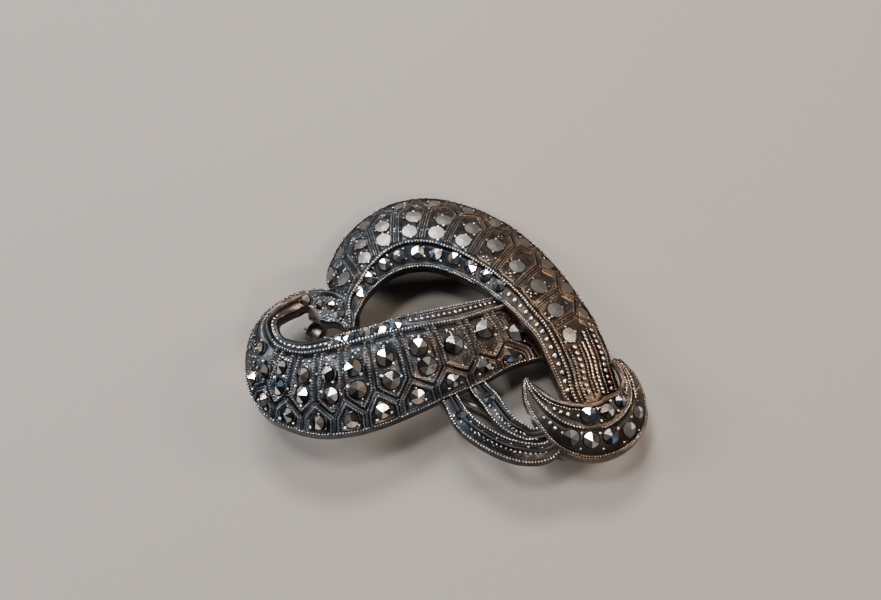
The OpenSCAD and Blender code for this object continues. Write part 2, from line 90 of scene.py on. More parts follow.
def laid(points):
    """Points in the brooch's plane, in mm, as they lie on the floor, in metres."""
    return (np.asarray(points, float) @ turn.T + shift) * MM

print("tipped by", round(math.degrees(math.acos(turn[2, 2])), 2), "degrees")

# %% [markdown]
# ## The bands as rows of sections
# Each band is a table of rows, one section across the band in each. x and y place its main rail,
# aim is the plan direction of its outer side, strip and field are the widths inside and outside
# the rail, then come the heights of the edge, the rail and the rim. A rim without a height lies at
# RIM_Z. A smooth curve runs through the rows, so a place on a band is t, counted in rows, and w,
# from -1 to 1 across.

# %% The tables of the bands
ROWS = {
    "band": [
        [7.7, -2.8, -52, 1.9, 6.8, 3.0, 3.3, 1.6], [5.0, -4.5, -57, 2.1, 5.4, 4.2, 4.6, 1.2],
        [2.1, -6.0, -62, 2.4, 5.5, 5.0, 5.3], [-1.1, -7.0, -67, 2.2, 6.0, 5.6, 5.8],
        [-4.3, -7.8, -72, 1.9, 6.8, 6.0, 6.0], [-7.1, -8.6, -79, 1.6, 7.4, 6.0, 6.0],
        [-9.6, -9.3, -87, 1.7, 7.6, 5.8, 5.8], [-12.0, -9.8, -94, 1.7, 7.3, 5.4, 5.4],
        [-14.2, -9.9, -102, 1.6, 6.5, 5.0, 5.0], [-15.9, -9.4, -111, 1.6, 5.9, 4.6, 4.8],
        [-17.2, -8.5, -122, 1.5, 4.8, 4.2, 4.6], [-18.0, -7.1, -137, 1.4, 3.7, 4.0, 4.4],
        [-18.4, -5.7, -159, 1.4, 2.7, 3.8, 4.2], [-18.1, -4.5, -190, 1.4, 2.3, 3.6, 4.0],
        [-17.4, -3.5, -213, 1.4, 2.2, 3.4, 3.8], [-16.3, -2.5, -228, 1.4, 2.2, 3.0, 3.6],
        [-15.0, -1.6, -244, 1.5, 2.1, 2.8, 3.4], [-13.4, -1.1, -264, 3.4, 1.7, 2.8, 3.3, 1.2],
        [-11.5, -1.3, -290, 3.7, 1.3, 2.8, 3.3, 1.6], [-9.9, -2.6, -312, 3.2, 0.9, 2.8, 3.3, 2.0],
        [-9.3, -4.8, -345, 1.6, 0.6, 3.0, 3.3, 2.4], [-9.7, -6.0, -352, 0.5, 0.4, 2.9, 3.1, 2.6]],
    "arch": [
        [-9.7, -5.8, 150, 0.5, 0.7, 3.2, 3.4, 3.0], [-9.9, -3.6, 133, 1.2, 2.0, 3.2, 3.6, 2.4],
        [-9.8, -2.1, 128, 1.7, 4.9, 3.2, 3.9, 1.4], [-9.0, -0.5, 124, 1.6, 6.3, 3.2, 4.2],
        [-8.0, 1.4, 117, 2.0, 7.2, 3.2, 4.4], [-6.3, 3.4, 109, 2.4, 7.9, 3.2, 4.6],
        [-4.0, 4.6, 100, 2.6, 8.7, 3.2, 4.8], [-1.2, 4.7, 90, 2.5, 9.2, 3.2, 4.8],
        [1.7, 3.6, 81, 2.3, 9.3, 3.2, 4.8], [4.4, 1.8, 73, 2.2, 9.2, 3.4, 4.8],
        [6.5, -0.2, 65, 2.1, 8.8, 3.8, 5.0], [8.4, -2.4, 58, 2.0, 8.2, 4.2, 5.2],
        [9.8, -4.6, 51, 1.8, 7.7, 4.4, 5.2], [11.0, -6.4, 47, 1.7, 7.2, 4.4, 5.2],
        [11.8, -8.1, 43, 1.7, 7.0, 4.2, 5.0], [12.5, -9.8, 41, 1.7, 6.7, 3.8, 4.6],
        [13.1, -11.5, 38, 1.6, 6.4, 3.4, 4.2], [13.4, -13.3, 36, 1.2, 6.2, 3.0, 3.8],
        [14.2, -15.0, 24, 1.0, 5.2, 2.6, 3.0]],
    "cap": [
        [18.2, -9.2, 30, 0.3, 0.9, 2.9, 2.8, 1.8], [18.9, -10.6, 16, 0.6, 1.6, 3.4, 3.0, 1.2],
        [19.3, -12.4, 0, 0.9, 1.9, 3.8, 3.2], [19.2, -14.2, -22, 1.6, 2.2, 4.1, 3.2],
        [18.3, -15.8, -45, 2.3, 2.4, 4.3, 3.2], [16.7, -17.0, -68, 2.4, 2.4, 4.4, 3.2],
        [14.7, -17.3, -90, 2.2, 2.4, 4.4, 3.2], [12.6, -16.8, -110, 2.0, 2.2, 4.2, 3.2, 1.5],
        [10.8, -15.4, -130, 1.4, 1.6, 3.9, 3.2, 2.1], [9.4, -13.4, -145, 0.9, 1.0, 3.4, 3.1, 2.4],
        [8.7, -11.6, -160, 0.2, 0.3, 3.0, 3.1, 2.8]],
    "outer_strand": [
        [12.4, -17.8, 300, 0.9, 0.9, 2.1, 2.1, 2.0], [10.6, -18.9, 280, 0.9, 0.9, 1.6, 1.6],
        [8.4, -19.0, 260, 0.9, 1.0, 1.8, 1.8], [6.2, -18.3, 243, 0.9, 1.0, 1.7, 1.7],
        [3.9, -16.9, 230, 0.9, 1.0, 1.7, 1.7], [2.3, -15.3, 222, 0.9, 1.0, 1.6, 1.6],
        [1.3, -13.4, 215, 0.9, 0.9, 1.2, 1.2, 0.9], [0.7, -12.1, 212, 0.9, 0.9, 0.9, 0.9, 0.8]],
    "inner_strand": [
        [12.0, -16.9, 285, 0.5, 0.5, 2.3, 2.4, 2.1], [9.3, -17.4, 255, 0.7, 0.6, 2.0, 2.1, 1.8],
        [8.1, -17.0, 235, 0.8, 0.7, 2.2, 2.3, 1.8], [6.9, -16.2, 222, 0.9, 0.8, 2.2, 2.3, 1.8],
        [5.9, -14.9, 213, 1.0, 0.9, 2.2, 2.3, 1.8], [5.1, -13.4, 211, 1.1, 0.9, 1.8, 1.9, 1.5],
        [4.2, -12.0, 213, 1.1, 1.0, 1.2, 1.2, 1.1], [3.6, -10.9, 215, 1.0, 0.9, 0.9, 0.9, 0.85]],
}
# Wall in mm, how bowed the fall from rail to rim is, and the usual height of a rim.
WALL, BOW, RIM_Z = 1.0, 0.75, 1.0
print({name: len(rows) for name, rows in ROWS.items()}, "rows")

# %% [markdown]
# ## Measuring along a curved face
# A silversmith sets out rails and cells with dividers, on the metal's real surface. A step of w is
# longer where the slope is steep, so this class also measures real lengths across the band: s is
# the distance over the surface from the main rail, negative inside it.

# %% A band's face
GRID_STEP, GRID_WIDE = 0.05, 121

def lengths(points):
    """Distance along each line of points, from 0 at its start."""
    steps = np.linalg.norm(np.diff(points, axis=-2), axis=-1)
    return np.concatenate([np.zeros_like(steps[..., :1]), np.cumsum(steps, axis=-1)], axis=-1)

class Band:
    def __init__(self, rows):
        self.rows = np.array([(row + [RIM_Z])[:8] for row in rows], float)
        self.last = len(rows) - 1
        self.grid_t = np.arange(0, self.last + 0.8 * GRID_STEP, GRID_STEP)
        self.grid_w = np.linspace(-1, 1, GRID_WIDE)
        s = lengths(self.point(self.grid_t[:, None], self.grid_w[None, :]))
        self.grid_s = s - s[:, GRID_WIDE // 2, None]

    def row(self, t):
        t = np.clip(np.asarray(t, float), 0, self.last - 0.0001)
        i = np.floor(t).astype(int)
        u = (t - i)[..., None]
        a, b, c, d = (self.rows[np.clip(i + k, 0, self.last)] for k in (-1, 0, 1, 2))
        return (2 * b + (c - a) * u + (2 * a - 5 * b + 4 * c - d) * u ** 2
                + (3 * b - a - 3 * c + d) * u ** 3) / 2

    def point(self, t, w):
        t, w = np.broadcast_arrays(np.asarray(t, float), np.asarray(w, float))
        r = self.row(t)
        reach = np.where(w < 0, w * r[..., 3], w * r[..., 4])
        z = np.where(w < 0, r[..., 6] + (r[..., 6] - r[..., 5]) * w,
                     r[..., 6] - (r[..., 6] - r[..., 7]) * ((1 - BOW) * w + BOW * w * w))
        aim = np.radians(r[..., 2])
        return np.stack([r[..., 0] + np.cos(aim) * reach, r[..., 1] + np.sin(aim) * reach, z], -1)

    def along(self, t, w, step=0.02):
        return unit(self.point(np.asarray(t) + step, w) - self.point(np.asarray(t) - step, w))

    def normal(self, t, w, step=0.02):
        a = np.clip(w, -1, 1 - step)
        return unit(np.cross(self.along(t, w), unit(self.point(t, a + step) - self.point(t, a))))

    def slopes(self, t, w, e=0.01):
        """How far the surface runs for one step of t and of w, in mm."""
        return ((self.point(t + e, w) - self.point(t - e, w)) / (2 * e),
                (self.point(t, w + e) - self.point(t, w - e)) / (2 * e))

    def w_at(self, t, s):
        """w where the surface is s mm outside the main rail, at t."""
        t, s = np.broadcast_arrays(np.asarray(t, float), np.asarray(s, float))
        out = np.empty(t.size)
        for k, (a, b) in enumerate(zip(t.ravel(), s.ravel())):
            f = min(max(a / GRID_STEP, 0), len(self.grid_t) - 1.001)
            i = int(f)
            lo, hi = (np.interp(b, self.grid_s[n], self.grid_w) for n in (i, i + 1))
            out[k] = lo + (hi - lo) * (f - i)
        return out.reshape(t.shape)

    def edge(self, t):
        return np.interp(t, self.grid_t, self.grid_s[:, 0])

    def rim(self, t):
        return np.interp(t, self.grid_t, self.grid_s[:, -1])

BANDS = {name: Band(rows) for name, rows in ROWS.items()}
for name, band in BANDS.items():
    run = float(lengths(band.point(band.grid_t, 0.0))[-1])
    print(name, "is", round(run, 1), "mm along its main rail")

# %% [markdown]
# ## Where the stones sit
# The stones follow the CAD tables: t and w, and the diameter where a field has more than one size.

# %% The tables of the stones
SEATS = {
    "arch_stones": ("arch", None, [
        [2.3, 0.82, 1.7], [2.59, 0.34, 1.75], [4.3, 0.46, 1.5], [4.12, 0.17, 1.5],
        [5.34, 0.46, 1.7], [5.2, 0.18, 1.7], [6.47, 0.45, 1.9], [6.26, 0.16, 1.7],
        [7.43, 0.42, 1.85], [7.24, 0.15, 1.8], [8.36, 0.45, 1.8], [8.19, 0.17, 1.75],
        [9.25, 0.37, 1.95], [10.33, 0.3, 1.8], [11.44, 0.32, 1.95], [12.75, 0.29, 1.85],
        [14.26, 0.27, 1.65]]),
    "arch_rim_stones": ("arch", None, [
        [3.45, 0.79, 1.5], [4.82, 0.8, 1.5], [6.12, 0.79, 1.5], [7.12, 0.79, 1.5],
        [8.07, 0.83, 1.5], [8.92, 0.84, 1.5], [10.0, 0.82, 1.55], [10.99, 0.82, 1.55],
        [12.07, 0.82, 1.6], [13.5, 0.78, 1.6]]),
    "arch_border_stones": ("arch", 1.42, [
        [2.92, -0.44], [3.9, -0.45], [4.86, -0.46], [5.64, -0.45], [6.5, -0.44], [7.25, -0.44],
        [7.99, -0.38], [8.65, -0.37], [9.35, -0.37], [10.1, -0.36]]),
    "band_stones": ("band", None, [
        [9.7, 0.5, 1.5], [8.87, 0.27, 1.45], [8.67, 0.55, 1.6], [7.7, 0.32, 1.6],
        [7.65, 0.57, 1.75], [6.75, 0.32, 1.7], [6.57, 0.58, 1.75], [5.76, 0.31, 1.75],
        [5.66, 0.57, 1.8], [4.66, 0.3, 1.75], [4.6, 0.58, 1.85], [3.55, 0.29, 1.8],
        [3.45, 0.555, 1.9], [2.53, 0.38, 1.95], [1.42, 0.295, 2.0], [0.57, 0.51, 1.9]]),
    "band_rim_stones": ("band", None, [
        [10.25, 0.79, 1.5], [9.23, 0.82, 1.35], [8.07, 0.85, 1.5], [6.97, 0.86, 1.5],
        [5.93, 0.87, 1.5], [5.01, 0.86, 1.55], [3.96, 0.85, 1.6], [2.87, 0.835, 1.45],
        [1.89, 0.8, 1.6], [1.02, 0.825, 1.6]]),
    "band_border_stones": ("band", None, [
        [6.43, -0.51, 1.15], [5.86, -0.51, 1.2], [5.2, -0.52, 1.2], [4.6, -0.51, 1.2],
        [4.02, -0.51, 1.2]]),
    "loop_stones": ("band", None, [
        [15.93, -0.4, 1.5], [17.0, -0.44, 1.15], [18.05, -0.4, 1.1], [19.0, -0.44, 1.4],
        [10.7, 0.33, 1.2]]),
    "cap_stones": ("cap", None, [
        [6.0, -0.53, 1.6], [4.75, -0.51, 1.45], [3.5, -0.48, 1.25], [6.69, 0.45, 1.65],
        [5.89, 0.41, 1.6], [5.06, 0.38, 1.55], [4.2, 0.52, 1.5], [3.3, 0.47, 1.25]]),
    "strand_stones": ("both", None, [[5.15, -0.1, 1.15], [4.95, 0.05, 1.2]]),
}

def seat_list(field):
    """Each stone of a field as (band name, t, w, diameter)."""
    band, size, places = SEATS[field]
    bands = ["outer_strand", "inner_strand"] if band == "both" else [band] * len(places)
    return [(b, p[0], p[1], size or p[2]) for b, p in zip(bands, places)]

print(sum(len(seat_list(f)) for f in SEATS), "stones in", len(SEATS), "fields")

# %% [markdown]
# ## Shader helpers
# Every material is a small net of nodes. These helpers take numbers, colours or other nodes'
# outputs alike, so that a net reads like a formula.

# %% Nodes as formulas
def give(tree, socket, value):
    """A plain value for a socket, or a link when the value is another node's output."""
    if isinstance(value, bpy.types.NodeSocket):
        tree.links.new(value, socket)
    else:
        socket.default_value = value

def node(tree, kind, values=None, **settings):
    made = tree.nodes.new("ShaderNode" + kind)
    for key, value in settings.items():
        setattr(made, key, value)
    for key, value in (values or {}).items():
        give(tree, made.inputs[key], value)
    return made

def mix_colours(tree, factor, a, b):
    return node(tree, "Mix", {0: factor, 6: a, 7: b}, data_type="RGBA").outputs[2]

def stretch(tree, value, low, high, at_low=0.0, at_high=1.0, form="LINEAR"):
    """A value moved so that low becomes at_low and high becomes at_high."""
    values = {0: value, 1: low, 2: high, 3: at_low, 4: at_high}
    return node(tree, "MapRange", values, interpolation_type=form).outputs[0]

def ramp(tree, value, low, high):
    """A smooth step of a value, from 0 at low to 1 at high."""
    return stretch(tree, value, low, high, form="SMOOTHSTEP")

def cloud(tree, scale, detail=4.0, roughness=0.5):
    """A soft noise in the piece's own space, scale clouds to the metre."""
    place = node(tree, "TexCoord").outputs["Object"]
    return node(tree, "TexNoise", {"Vector": place, "Scale": scale, "Detail": detail,
                                   "Roughness": roughness}).outputs[0]

def stored(tree, key):
    """The number that a piece stores under key, for each point or face."""
    return node(tree, "Attribute", attribute_name=key).outputs["Fac"]

def shader_group(name, inputs, outputs):
    """A new group, with what it is given and what it has to make."""
    group = bpy.data.node_groups.new(name, "ShaderNodeTree")
    add = group.interface.new_socket
    for key, value in inputs.items():
        add(name=key, in_out="INPUT", socket_type="NodeSocketFloat").default_value = value
    for key, kind in outputs.items():
        add(name=key, in_out="OUTPUT", socket_type="NodeSocket" + kind)
    given, wanted = (group.nodes.new("NodeGroup" + end) for end in ("Input", "Output"))
    return group, given.outputs, wanted.inputs

def new_material(name, metallic=1.0):
    """A material, its net and its shader's inputs."""
    material = bpy.data.materials.new(name)
    material.use_nodes = True
    tree = material.node_tree
    shader = tree.nodes["Principled BSDF"].inputs
    shader["Metallic"].default_value = metallic
    return material, tree, shader

# %% [markdown]
# ## Patina as a shader group
# Oxidised silver is dipped until it is black, then rubbed, so the high places shine and the
# recesses stay dark. Every silver piece stores how far each point is rubbed, from 0 to 1, with a few
# painted highlight and shade marks added in, and one group turns that into colour and roughness. A
# second number says how warm the silver is: partly the drift of old dipped silver from blue grey to
# copper brown, partly a painted reflection of the warm lamp at the right and the cool one at the left.

# %% The patina group
def swayed(tree, value, scale, amount):
    """A value that a soft noise pushes up and down by amount."""
    push = stretch(tree, cloud(tree, scale, 3.0), 0.32, 0.68, -amount, amount)
    return node(tree, "Math", {0: value, 1: push}, operation="ADD", use_clamp=True).outputs[0]

patina, given, wanted = shader_group("silver_patina", {"Wear_and_painted_light": 0.5, "Warmth": 0.5},
                                     {"Colour": "Color", "Roughness": "Float"})
warmth = swayed(patina, given["Warmth"], 480.0, 0.32)
cloudy = swayed(patina, given["Wear_and_painted_light"], 800.0, 0.11)
rub = swayed(patina, cloudy, 6000.0, 0.12)
TONES = [
    # cool, warm
    [(0.014, 0.016, 0.018, 1), (0.026, 0.019, 0.014, 1)],
    [(0.120, 0.128, 0.140, 1), (0.210, 0.132, 0.086, 1)],
    [(0.780, 0.800, 0.830, 1), (0.860, 0.680, 0.540, 1)]]
dark, middle, bright = (mix_colours(patina, warmth, *pair) for pair in TONES)
tone = mix_colours(patina, ramp(patina, rub, 0.08, 0.62), dark, middle)
tone = mix_colours(patina, ramp(patina, rub, 0.5, 0.95), tone, bright)
give(patina, wanted["Colour"], tone)
give(patina, wanted["Roughness"], stretch(patina, rub, 0.0, 1.0, 0.45, 0.17))
print("patina group:", len(patina.nodes), "nodes")

# %% [markdown]
# ## A cast skin as a second group
# Cast silver keeps a fine skin from the mould. This group makes its height for a Bump node, and is
# shared by the silver and by the plainer findings.

# %% The cast skin group
FINE_GRAIN, COARSE_GRAIN = 5500.0, 2200.0
skin, given, wanted = shader_group("cast_skin", {"Grain per metre": FINE_GRAIN},
                                   {"Height": "Float"})
give(skin, wanted["Height"], cloud(skin, given[0], 4.0, 0.6))
print("cast skin group:", len(skin.nodes), "nodes")

# %% [markdown]
# ## The silver materials
# All silver shares the patina group. Wires and grains are rubbed by every cloth that passes, so
# they have no skin of their own; the cast face has a faint one.

# %% Silver
def cast_bump(tree, grain, strength, depth):
    rise = node(tree, "Group", {0: grain}, node_tree=skin).outputs[0]
    return node(tree, "Bump", {"Strength": strength, "Distance": depth, "Height": rise}).outputs[0]

def silver(name, skin_depth):
    material, tree, shader = new_material(name)
    worn = {"Wear_and_painted_light": stored(tree, "wear_and_painted_light"), "Warmth": stored(tree, "warmth")}
    coat = node(tree, "Group", worn, node_tree=patina).outputs
    give(tree, shader["Base Color"], coat["Colour"])
    give(tree, shader["Roughness"], coat["Roughness"])
    if skin_depth:
        give(tree, shader["Normal"], cast_bump(tree, FINE_GRAIN, 0.5, skin_depth))
    return material

cast_silver, rubbed_silver = silver("cast_silver", 0.06 * MM), silver("rubbed_silver", 0)
print("two silvers over", len(cast_silver.node_tree.nodes), "nodes")

# %% [markdown]
# ## Turning points and faces into pieces
# Each piece is made from numbers, in the brooch's plane. This helper lays it on the floor, checks
# that a closed form faces outwards, and stores how far each point is rubbed, with painted light spots
# added, and how warm it is. The warm places are where the photographed piece looks copper brown: the
# arch, the loop's tube and the cap, while the strands and the lobe stay blue grey. The warm right and
# cool left are partly toning, partly a painted reflection of the warm and the cool lamp on those sides.

# %% Warm and cool places
def step_up(x, low, high):
    """A smooth step from 0 at low to 1 at high."""
    x = np.clip((x - low) / (high - low), 0, 1)
    return x * x * (3 - 2 * x)

def hump(d, half):
    """1 at d = 0, falling smoothly to 0 at half."""
    x = np.clip(np.abs(d) / half, 0, 1)
    return (1 - x * x) ** 2

# The cool spot at x -13.6, y -0.2 paints the blue of a reflection at the loop's top.
TINTED_PLACES = [
    # x, y, radius, how much warmer
    [-15.9, -2.2, 2.4, 0.9], [-8.6, 0.6, 1.6, 0.5], [-3.0, 11.5, 3.0, 0.35],
    [-13.6, -0.2, 1.2, -0.5], [5.5, -15.0, 4.5, -0.35], [12.0, -18.5, 2.5, -0.3],
    [6.4, -1.8, 2.2, -0.4], [-0.5, 3.0, 5.0, -0.4], [1.5, -9.5, 4.5, 0.2],
    [-6.0, -12.0, 4.0, 0.15], [-8.5, -2.5, 1.6, 0.35]]

PAINTED_LIGHT_SPOTS = [
    # x, y, radius, how much more rubbed: painted highlight spots, and below zero painted shade
    [-13.0, -0.4, 1.9, -0.05], [-15.4, -3.0, 1.2, 0.15], [8.4, -4.8, 1.8, 0.05]]

def at_places(points, places):
    """The sum of soft round spots, each with its own strength."""
    x, y = points[:, 0], points[:, 1]
    return sum(amount * np.exp(-((x - px) ** 2 + (y - py) ** 2) / radius ** 2)
               for px, py, radius, amount in places)

def warm_at(points):
    """Warm at the right and the back, cool at the left, and as the table says; partly toning, partly a painted
    reflection of the warm right and cool left lamps.
    """
    warm = 0.85 * step_up(points[:, 0] + 0.2 * points[:, 1], -7.0, 11.0)
    return np.clip(warm + at_places(points, TINTED_PLACES), 0, 1)

print(len(TINTED_PLACES), "toned and", len(PAINTED_LIGHT_SPOTS), "rubbed places")

# %% Making a piece
def fans(faces):
    """The faces cut into triangles, as rows of three point numbers."""
    return np.array([(f[0], f[k], f[k + 1]) for f in faces for k in range(1, len(f) - 1)])

def volume(points, faces):
    """Signed volume of a closed form: below zero when its faces look inwards."""
    a, b, c = points[fans(faces).T]
    return np.einsum("ij,ij->", a, np.cross(b, c)) / 6

INSIDE = 0.02 * MM  # how far every piece stays inside the CAD box

def store(mesh, key, domain, values):
    layer = mesh.attributes.new(key, "FLOAT", domain)
    layer.data.foreach_set("value", np.asarray(values, np.float32))

def add_object(name, data):
    made = bpy.data.objects.new(name, data)
    bpy.context.scene.collection.objects.link(made)
    return made

def make_piece(name, points, faces, material, wear_and_painted_light=None, warmer=0, smooth=True):
    """One piece from points in mm; none of them leaves the CAD box."""
    points = np.asarray(points, float)
    if volume(points, faces) < 0:
        faces = [f[::-1] for f in faces]
    mesh = bpy.data.meshes.new(name)
    low, high = np.array(cad_box)
    mesh.from_pydata(np.clip(laid(points), low + INSIDE, high - INSIDE).tolist(), [], faces)
    mesh.validate()
    if wear_and_painted_light is not None:
        # The painted highlight and shade spots are added to the rubbed value here.
        store(mesh, "wear_and_painted_light", "POINT", np.clip(wear_and_painted_light + at_places(points, PAINTED_LIGHT_SPOTS), 0, 1))
        store(mesh, "warmth", "POINT", np.clip(warm_at(points) + warmer, 0, 1))
    mesh.polygons.foreach_set("use_smooth", [smooth] * len(mesh.polygons))
    mesh.materials.append(material)
    made = add_object(name, mesh)
    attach(made, "brooch")
    return made

# %% Faces between rings
def ring_faces(n, m, closed=False):
    """Faces between n rings of m points each; an open row of rings is capped at both ends."""
    i, j = np.meshgrid(np.arange(n if closed else n - 1), np.arange(m), indexing="ij")
    a, b = i * m + j, i * m + (j + 1) % m
    quads = np.stack([a, b, (b + m) % (n * m), (a + m) % (n * m)], -1).reshape(-1, 4).tolist()
    return quads if closed else quads + [list(range(m))[::-1], list(range((n - 1) * m, n * m))]

def circle(n, start=0.0):
    """Cosine and sine of n even angles."""
    angle = start + np.arange(n) * 2 * np.pi / n
    return np.cos(angle), np.sin(angle)

# %% [markdown]
# ## Setting out the cells
# Between the stones runs a net of channels: straight stems between two cells, a fork at the end of
# each stem, and a short stub from fork to rim. The net is drawn first, as lines of t and w.

# %% The net of channels
STEMS = {
    # foot on the main rail, fork, middle of the half cell outside the fork
    "arch": [
        [3.25, 3.45, 3.45], [4.62, 4.82, 4.82], [5.6, 5.93, 6.1], [6.65, 6.95, 7.1],
        [7.6, 7.9, 8.05], [8.6, 8.85, 8.92], [9.68, 9.87, 9.98], [10.8, 10.92, 10.98],
        [12.0, 12.05, 12.07], [13.42, 13.45, 13.48]],
    "band": [
        [0.98, 0.98, 1.02], [1.95, 1.95, 1.89], [3.0, 3.0, 2.87], [4.05, 4.05, 3.96],
        [5.12, 5.12, 5.01], [6.15, 6.12, 5.94], [7.15, 7.12, 6.97], [8.25, 8.22, 8.08],
        [9.35, 9.35, 9.25]],
}
TOP_W, FORK_W, MEET_W, END_W = 0.03, 0.63, 0.82, 0.985
GAP = 0.1  # mm

def meets(stems):
    """Where the forks meet: halfway between two half cells, and beyond the first and last."""
    half = [row[2] for row in stems]
    inner = [(a + b) / 2 for a, b in zip(half, half[1:])]
    return [2 * half[0] - inner[0]] + inner + [2 * half[-1] - inner[-1]]

def net_lines(stems):
    middles = meets(stems)
    lines = [[(foot, TOP_W), (fork, FORK_W)] for foot, fork, _ in stems]
    for k, (_, fork, _) in enumerate(stems):
        lines += [[(fork, FORK_W), (m, MEET_W)] for m in middles[k:k + 2]]
    return lines + [[(m, MEET_W), (m, END_W)] for m in middles]

def sampled(band, line):
    """Places along a line of t and w, about GAP mm apart."""
    out = []
    for a, b in zip(line, line[1:]):
        length = np.linalg.norm(band.point(*a) - band.point(*b))
        n = max(2, int(round(length / GAP)))
        out += [(a[0] + (b[0] - a[0]) * k / n, a[1] + (b[1] - a[1]) * k / n) for k in range(n)]
    return np.array(out + [line[-1]])

def net_tree(band, stems):
    spots = np.concatenate([sampled(band, line) for line in net_lines(stems)])
    points = band.point(*spots.T)
    tree = KDTree(len(points))
    for k, p in enumerate(points):
        tree.insert(Vector(p), k)
    tree.balance()
    return tree

NETS = {name: net_tree(BANDS[name], stems) for name, stems in STEMS.items()}
print({name: len(net_lines(stems)) for name, stems in STEMS.items()}, "channel lines")

# %% [markdown]
# ## Casting the bands again
# The CAD bands have few sections, which is right for a solid that has to be checked. Here each band
# gets a section every 0.12 mm, and columns that crowd at the rails, so the rails and channels are
# real relief and not paint. The lift of a point is the sum of small smooth ridges and grooves.

# %% The relief of a face
INNER_LINE, RAIL_LINE, RIM_LINE = 0.34, -0.08, 0.2
CELL_WIRES = {
    # band: distance of a cell's wire from the channel's middle, its radius and its pitch
    "arch": (0.42, 0.115, 0.25), "band": (0.37, 0.15, 0.29)}

WORN = {
    # band: how far its open face is rubbed, how much more its edges, and how far its foot
    "band": (0.25, 0.22, 0.5), "arch": (0.25, 0.05, 0.2), "cap": (0.08, 0.3, 0.5),
    "outer_strand": (0.14, 0.0, 0.3), "inner_strand": (0.14, 0.0, 0.3)}

def narrowed(edge):
    """Under 1 where the strip is narrow, so that its lines lie closer together."""
    return np.clip(-edge / 1.2, 0.2, 1)

def lengthwise(name, t, s, edge, rim):
    """What runs along a band: form from 0 to 1, lift in mm, how much more it is rubbed; outside the main rail this
    also paints shade.
    """
    from_edge, from_rim = s - edge, rim - s
    narrow = narrowed(edge)
    room = step_up(-edge, 0.5, 1.1)
    wired = 0.3 if name == "cap" else -0.6  # a ridge under a wire stays dark
    rows = [
        (hump(from_edge - INNER_LINE * narrow, 0.24 * narrow), 0.13, 0.2 * wired),
        (hump(s - RAIL_LINE, 0.38), 0.2, 0.2 * wired),
        (hump(from_rim - RIM_LINE, 0.22), 0.08, 0.14 * wired),
        (hump(s + 0.55, 0.16) * step_up(-edge, 0.9, 1.3), -0.07, -0.12),
        # outside the main rail a shallow groove, painted darker as the rail's shadow side
        (hump(s - 0.44, 0.18) * step_up(rim, 1.2, 2.0), -0.07, -0.14)]
    for far in (from_edge, from_rim):
        rows += [(np.clip(1 - far / 0.12, 0, 1) ** 2, -0.1, 0.0),
                 (np.clip(1 - far / 0.14, 0, 1), 0.0, WORN[name][1])]
    if name != "cap":
        rows.append((step_up(-s, 0.15, 0.5), 0.0, -0.12))
    if name == "band":
        loop = step_up(t, 10.4, 11.2) * (1 - step_up(t, 14.2, 16.0))
        satin = step_up(-edge, 1.9, 2.1) * (1 - step_up(t, 3.2, 4.2))
        rows += [(hump(from_edge - 0.4, 0.4) * room * step_up(t, 9.0, 11.0), 0.1, 0.24),
                 (hump(s - 0.85, 0.36) * loop, 0.13, 0.2),
                 ((hump(s - 0.4, 0.2) + hump(s - 1.35, 0.2)) * loop, -0.06, -0.14),
                 (hump(s + 0.62, 0.34) * satin, 0.1, 0.3)]
    elif name == "arch":
        rows.append((hump(from_edge - 0.22, 0.3) * step_up(t, 8.4, 10.5), 0.08, 0.3))
    elif name == "cap":
        lip = 1 - step_up(np.abs(from_edge - 0.3), 0.2, 0.34)
        rows += [(lip * room, 0.12, 0.13), (hump(from_edge - 0.72, 0.16) * room, -0.06, -0.12),
                 (hump(from_rim - 0.2, 0.24) * step_up(rim, 0.8, 1.6), 0.08, 0.2)]
    return rows

def in_cells(name, s, rim, base):
    """The field, its banks, channels and pockets, in the same three numbers."""
    tree, off = NETS[name], CELL_WIRES[name][0]
    d = np.array([tree.find(Vector(p))[2] for p in base.reshape(-1, 3)]).reshape(s.shape)
    field = step_up(s, 0.1, 0.3) * step_up(rim - s, 0.02, 0.2)
    bank = np.clip(1 - np.abs(d - off) / 0.2, 0, 1)
    channel = 1 - step_up(d, 0.1, off - 0.1)
    pocket = step_up(d, off + 0.16, off + 0.34)
    return [(field, 0.05, 0.02), (field * bank, 0.06, 0.0),
            (field * channel, -0.1, -0.15), (field * pocket, -0.14, -0.06)]

def relief(name, t, s, edge, rim, base):
    """Lift in mm and how far rubbed, with painted shade beside the main rail, for the points of a band's face."""
    rows = lengthwise(name, t, s, edge, rim)
    if name in NETS:
        rows += in_cells(name, s, rim, base)
    return (sum(form * lift for form, lift, _ in rows),
            WORN[name][0] + sum(form * more for form, _, more in rows))

# %% A band from its sections
FINE = 0.12  # mm between sections, and between columns in the open parts of one
MIDDLE_W, BACK_RISE, BACK_WORN = 0.35, 0.05, 0.3
FULL = 1.3  # mm: a narrower strip or field gets its close columns still closer
FROM_EDGE = np.array([0, 0.04, 0.09, 0.14, 0.2, 0.26, 0.32, 0.38, 0.44])
FROM_RAIL = np.array([-0.36, -0.3, -0.24, -0.18, -0.12, -0.06, 0, 0.06, 0.12, 0.18, 0.24])
FROM_RIM = np.array([0.42, 0.36, 0.3, 0.25, 0.2, 0.15, 0.1, 0.06, 0.03, 0])
BACK_W = np.concatenate([[0.995], np.linspace(0.97, -0.97, 15), [-0.995]])

def columns(edge, rim, n_strip, n_field):
    """Distances across one section, crowded at the rails."""
    k = min(1.0, -edge / FULL, rim / FULL)
    a, b, c = edge + k * FROM_EDGE, k * FROM_RAIL, rim - k * FROM_RIM
    return np.concatenate([a, np.linspace(a[-1], b[0], n_strip + 2)[1:-1], b,
                           np.linspace(b[-1], c[0], n_field + 2)[1:-1], c])

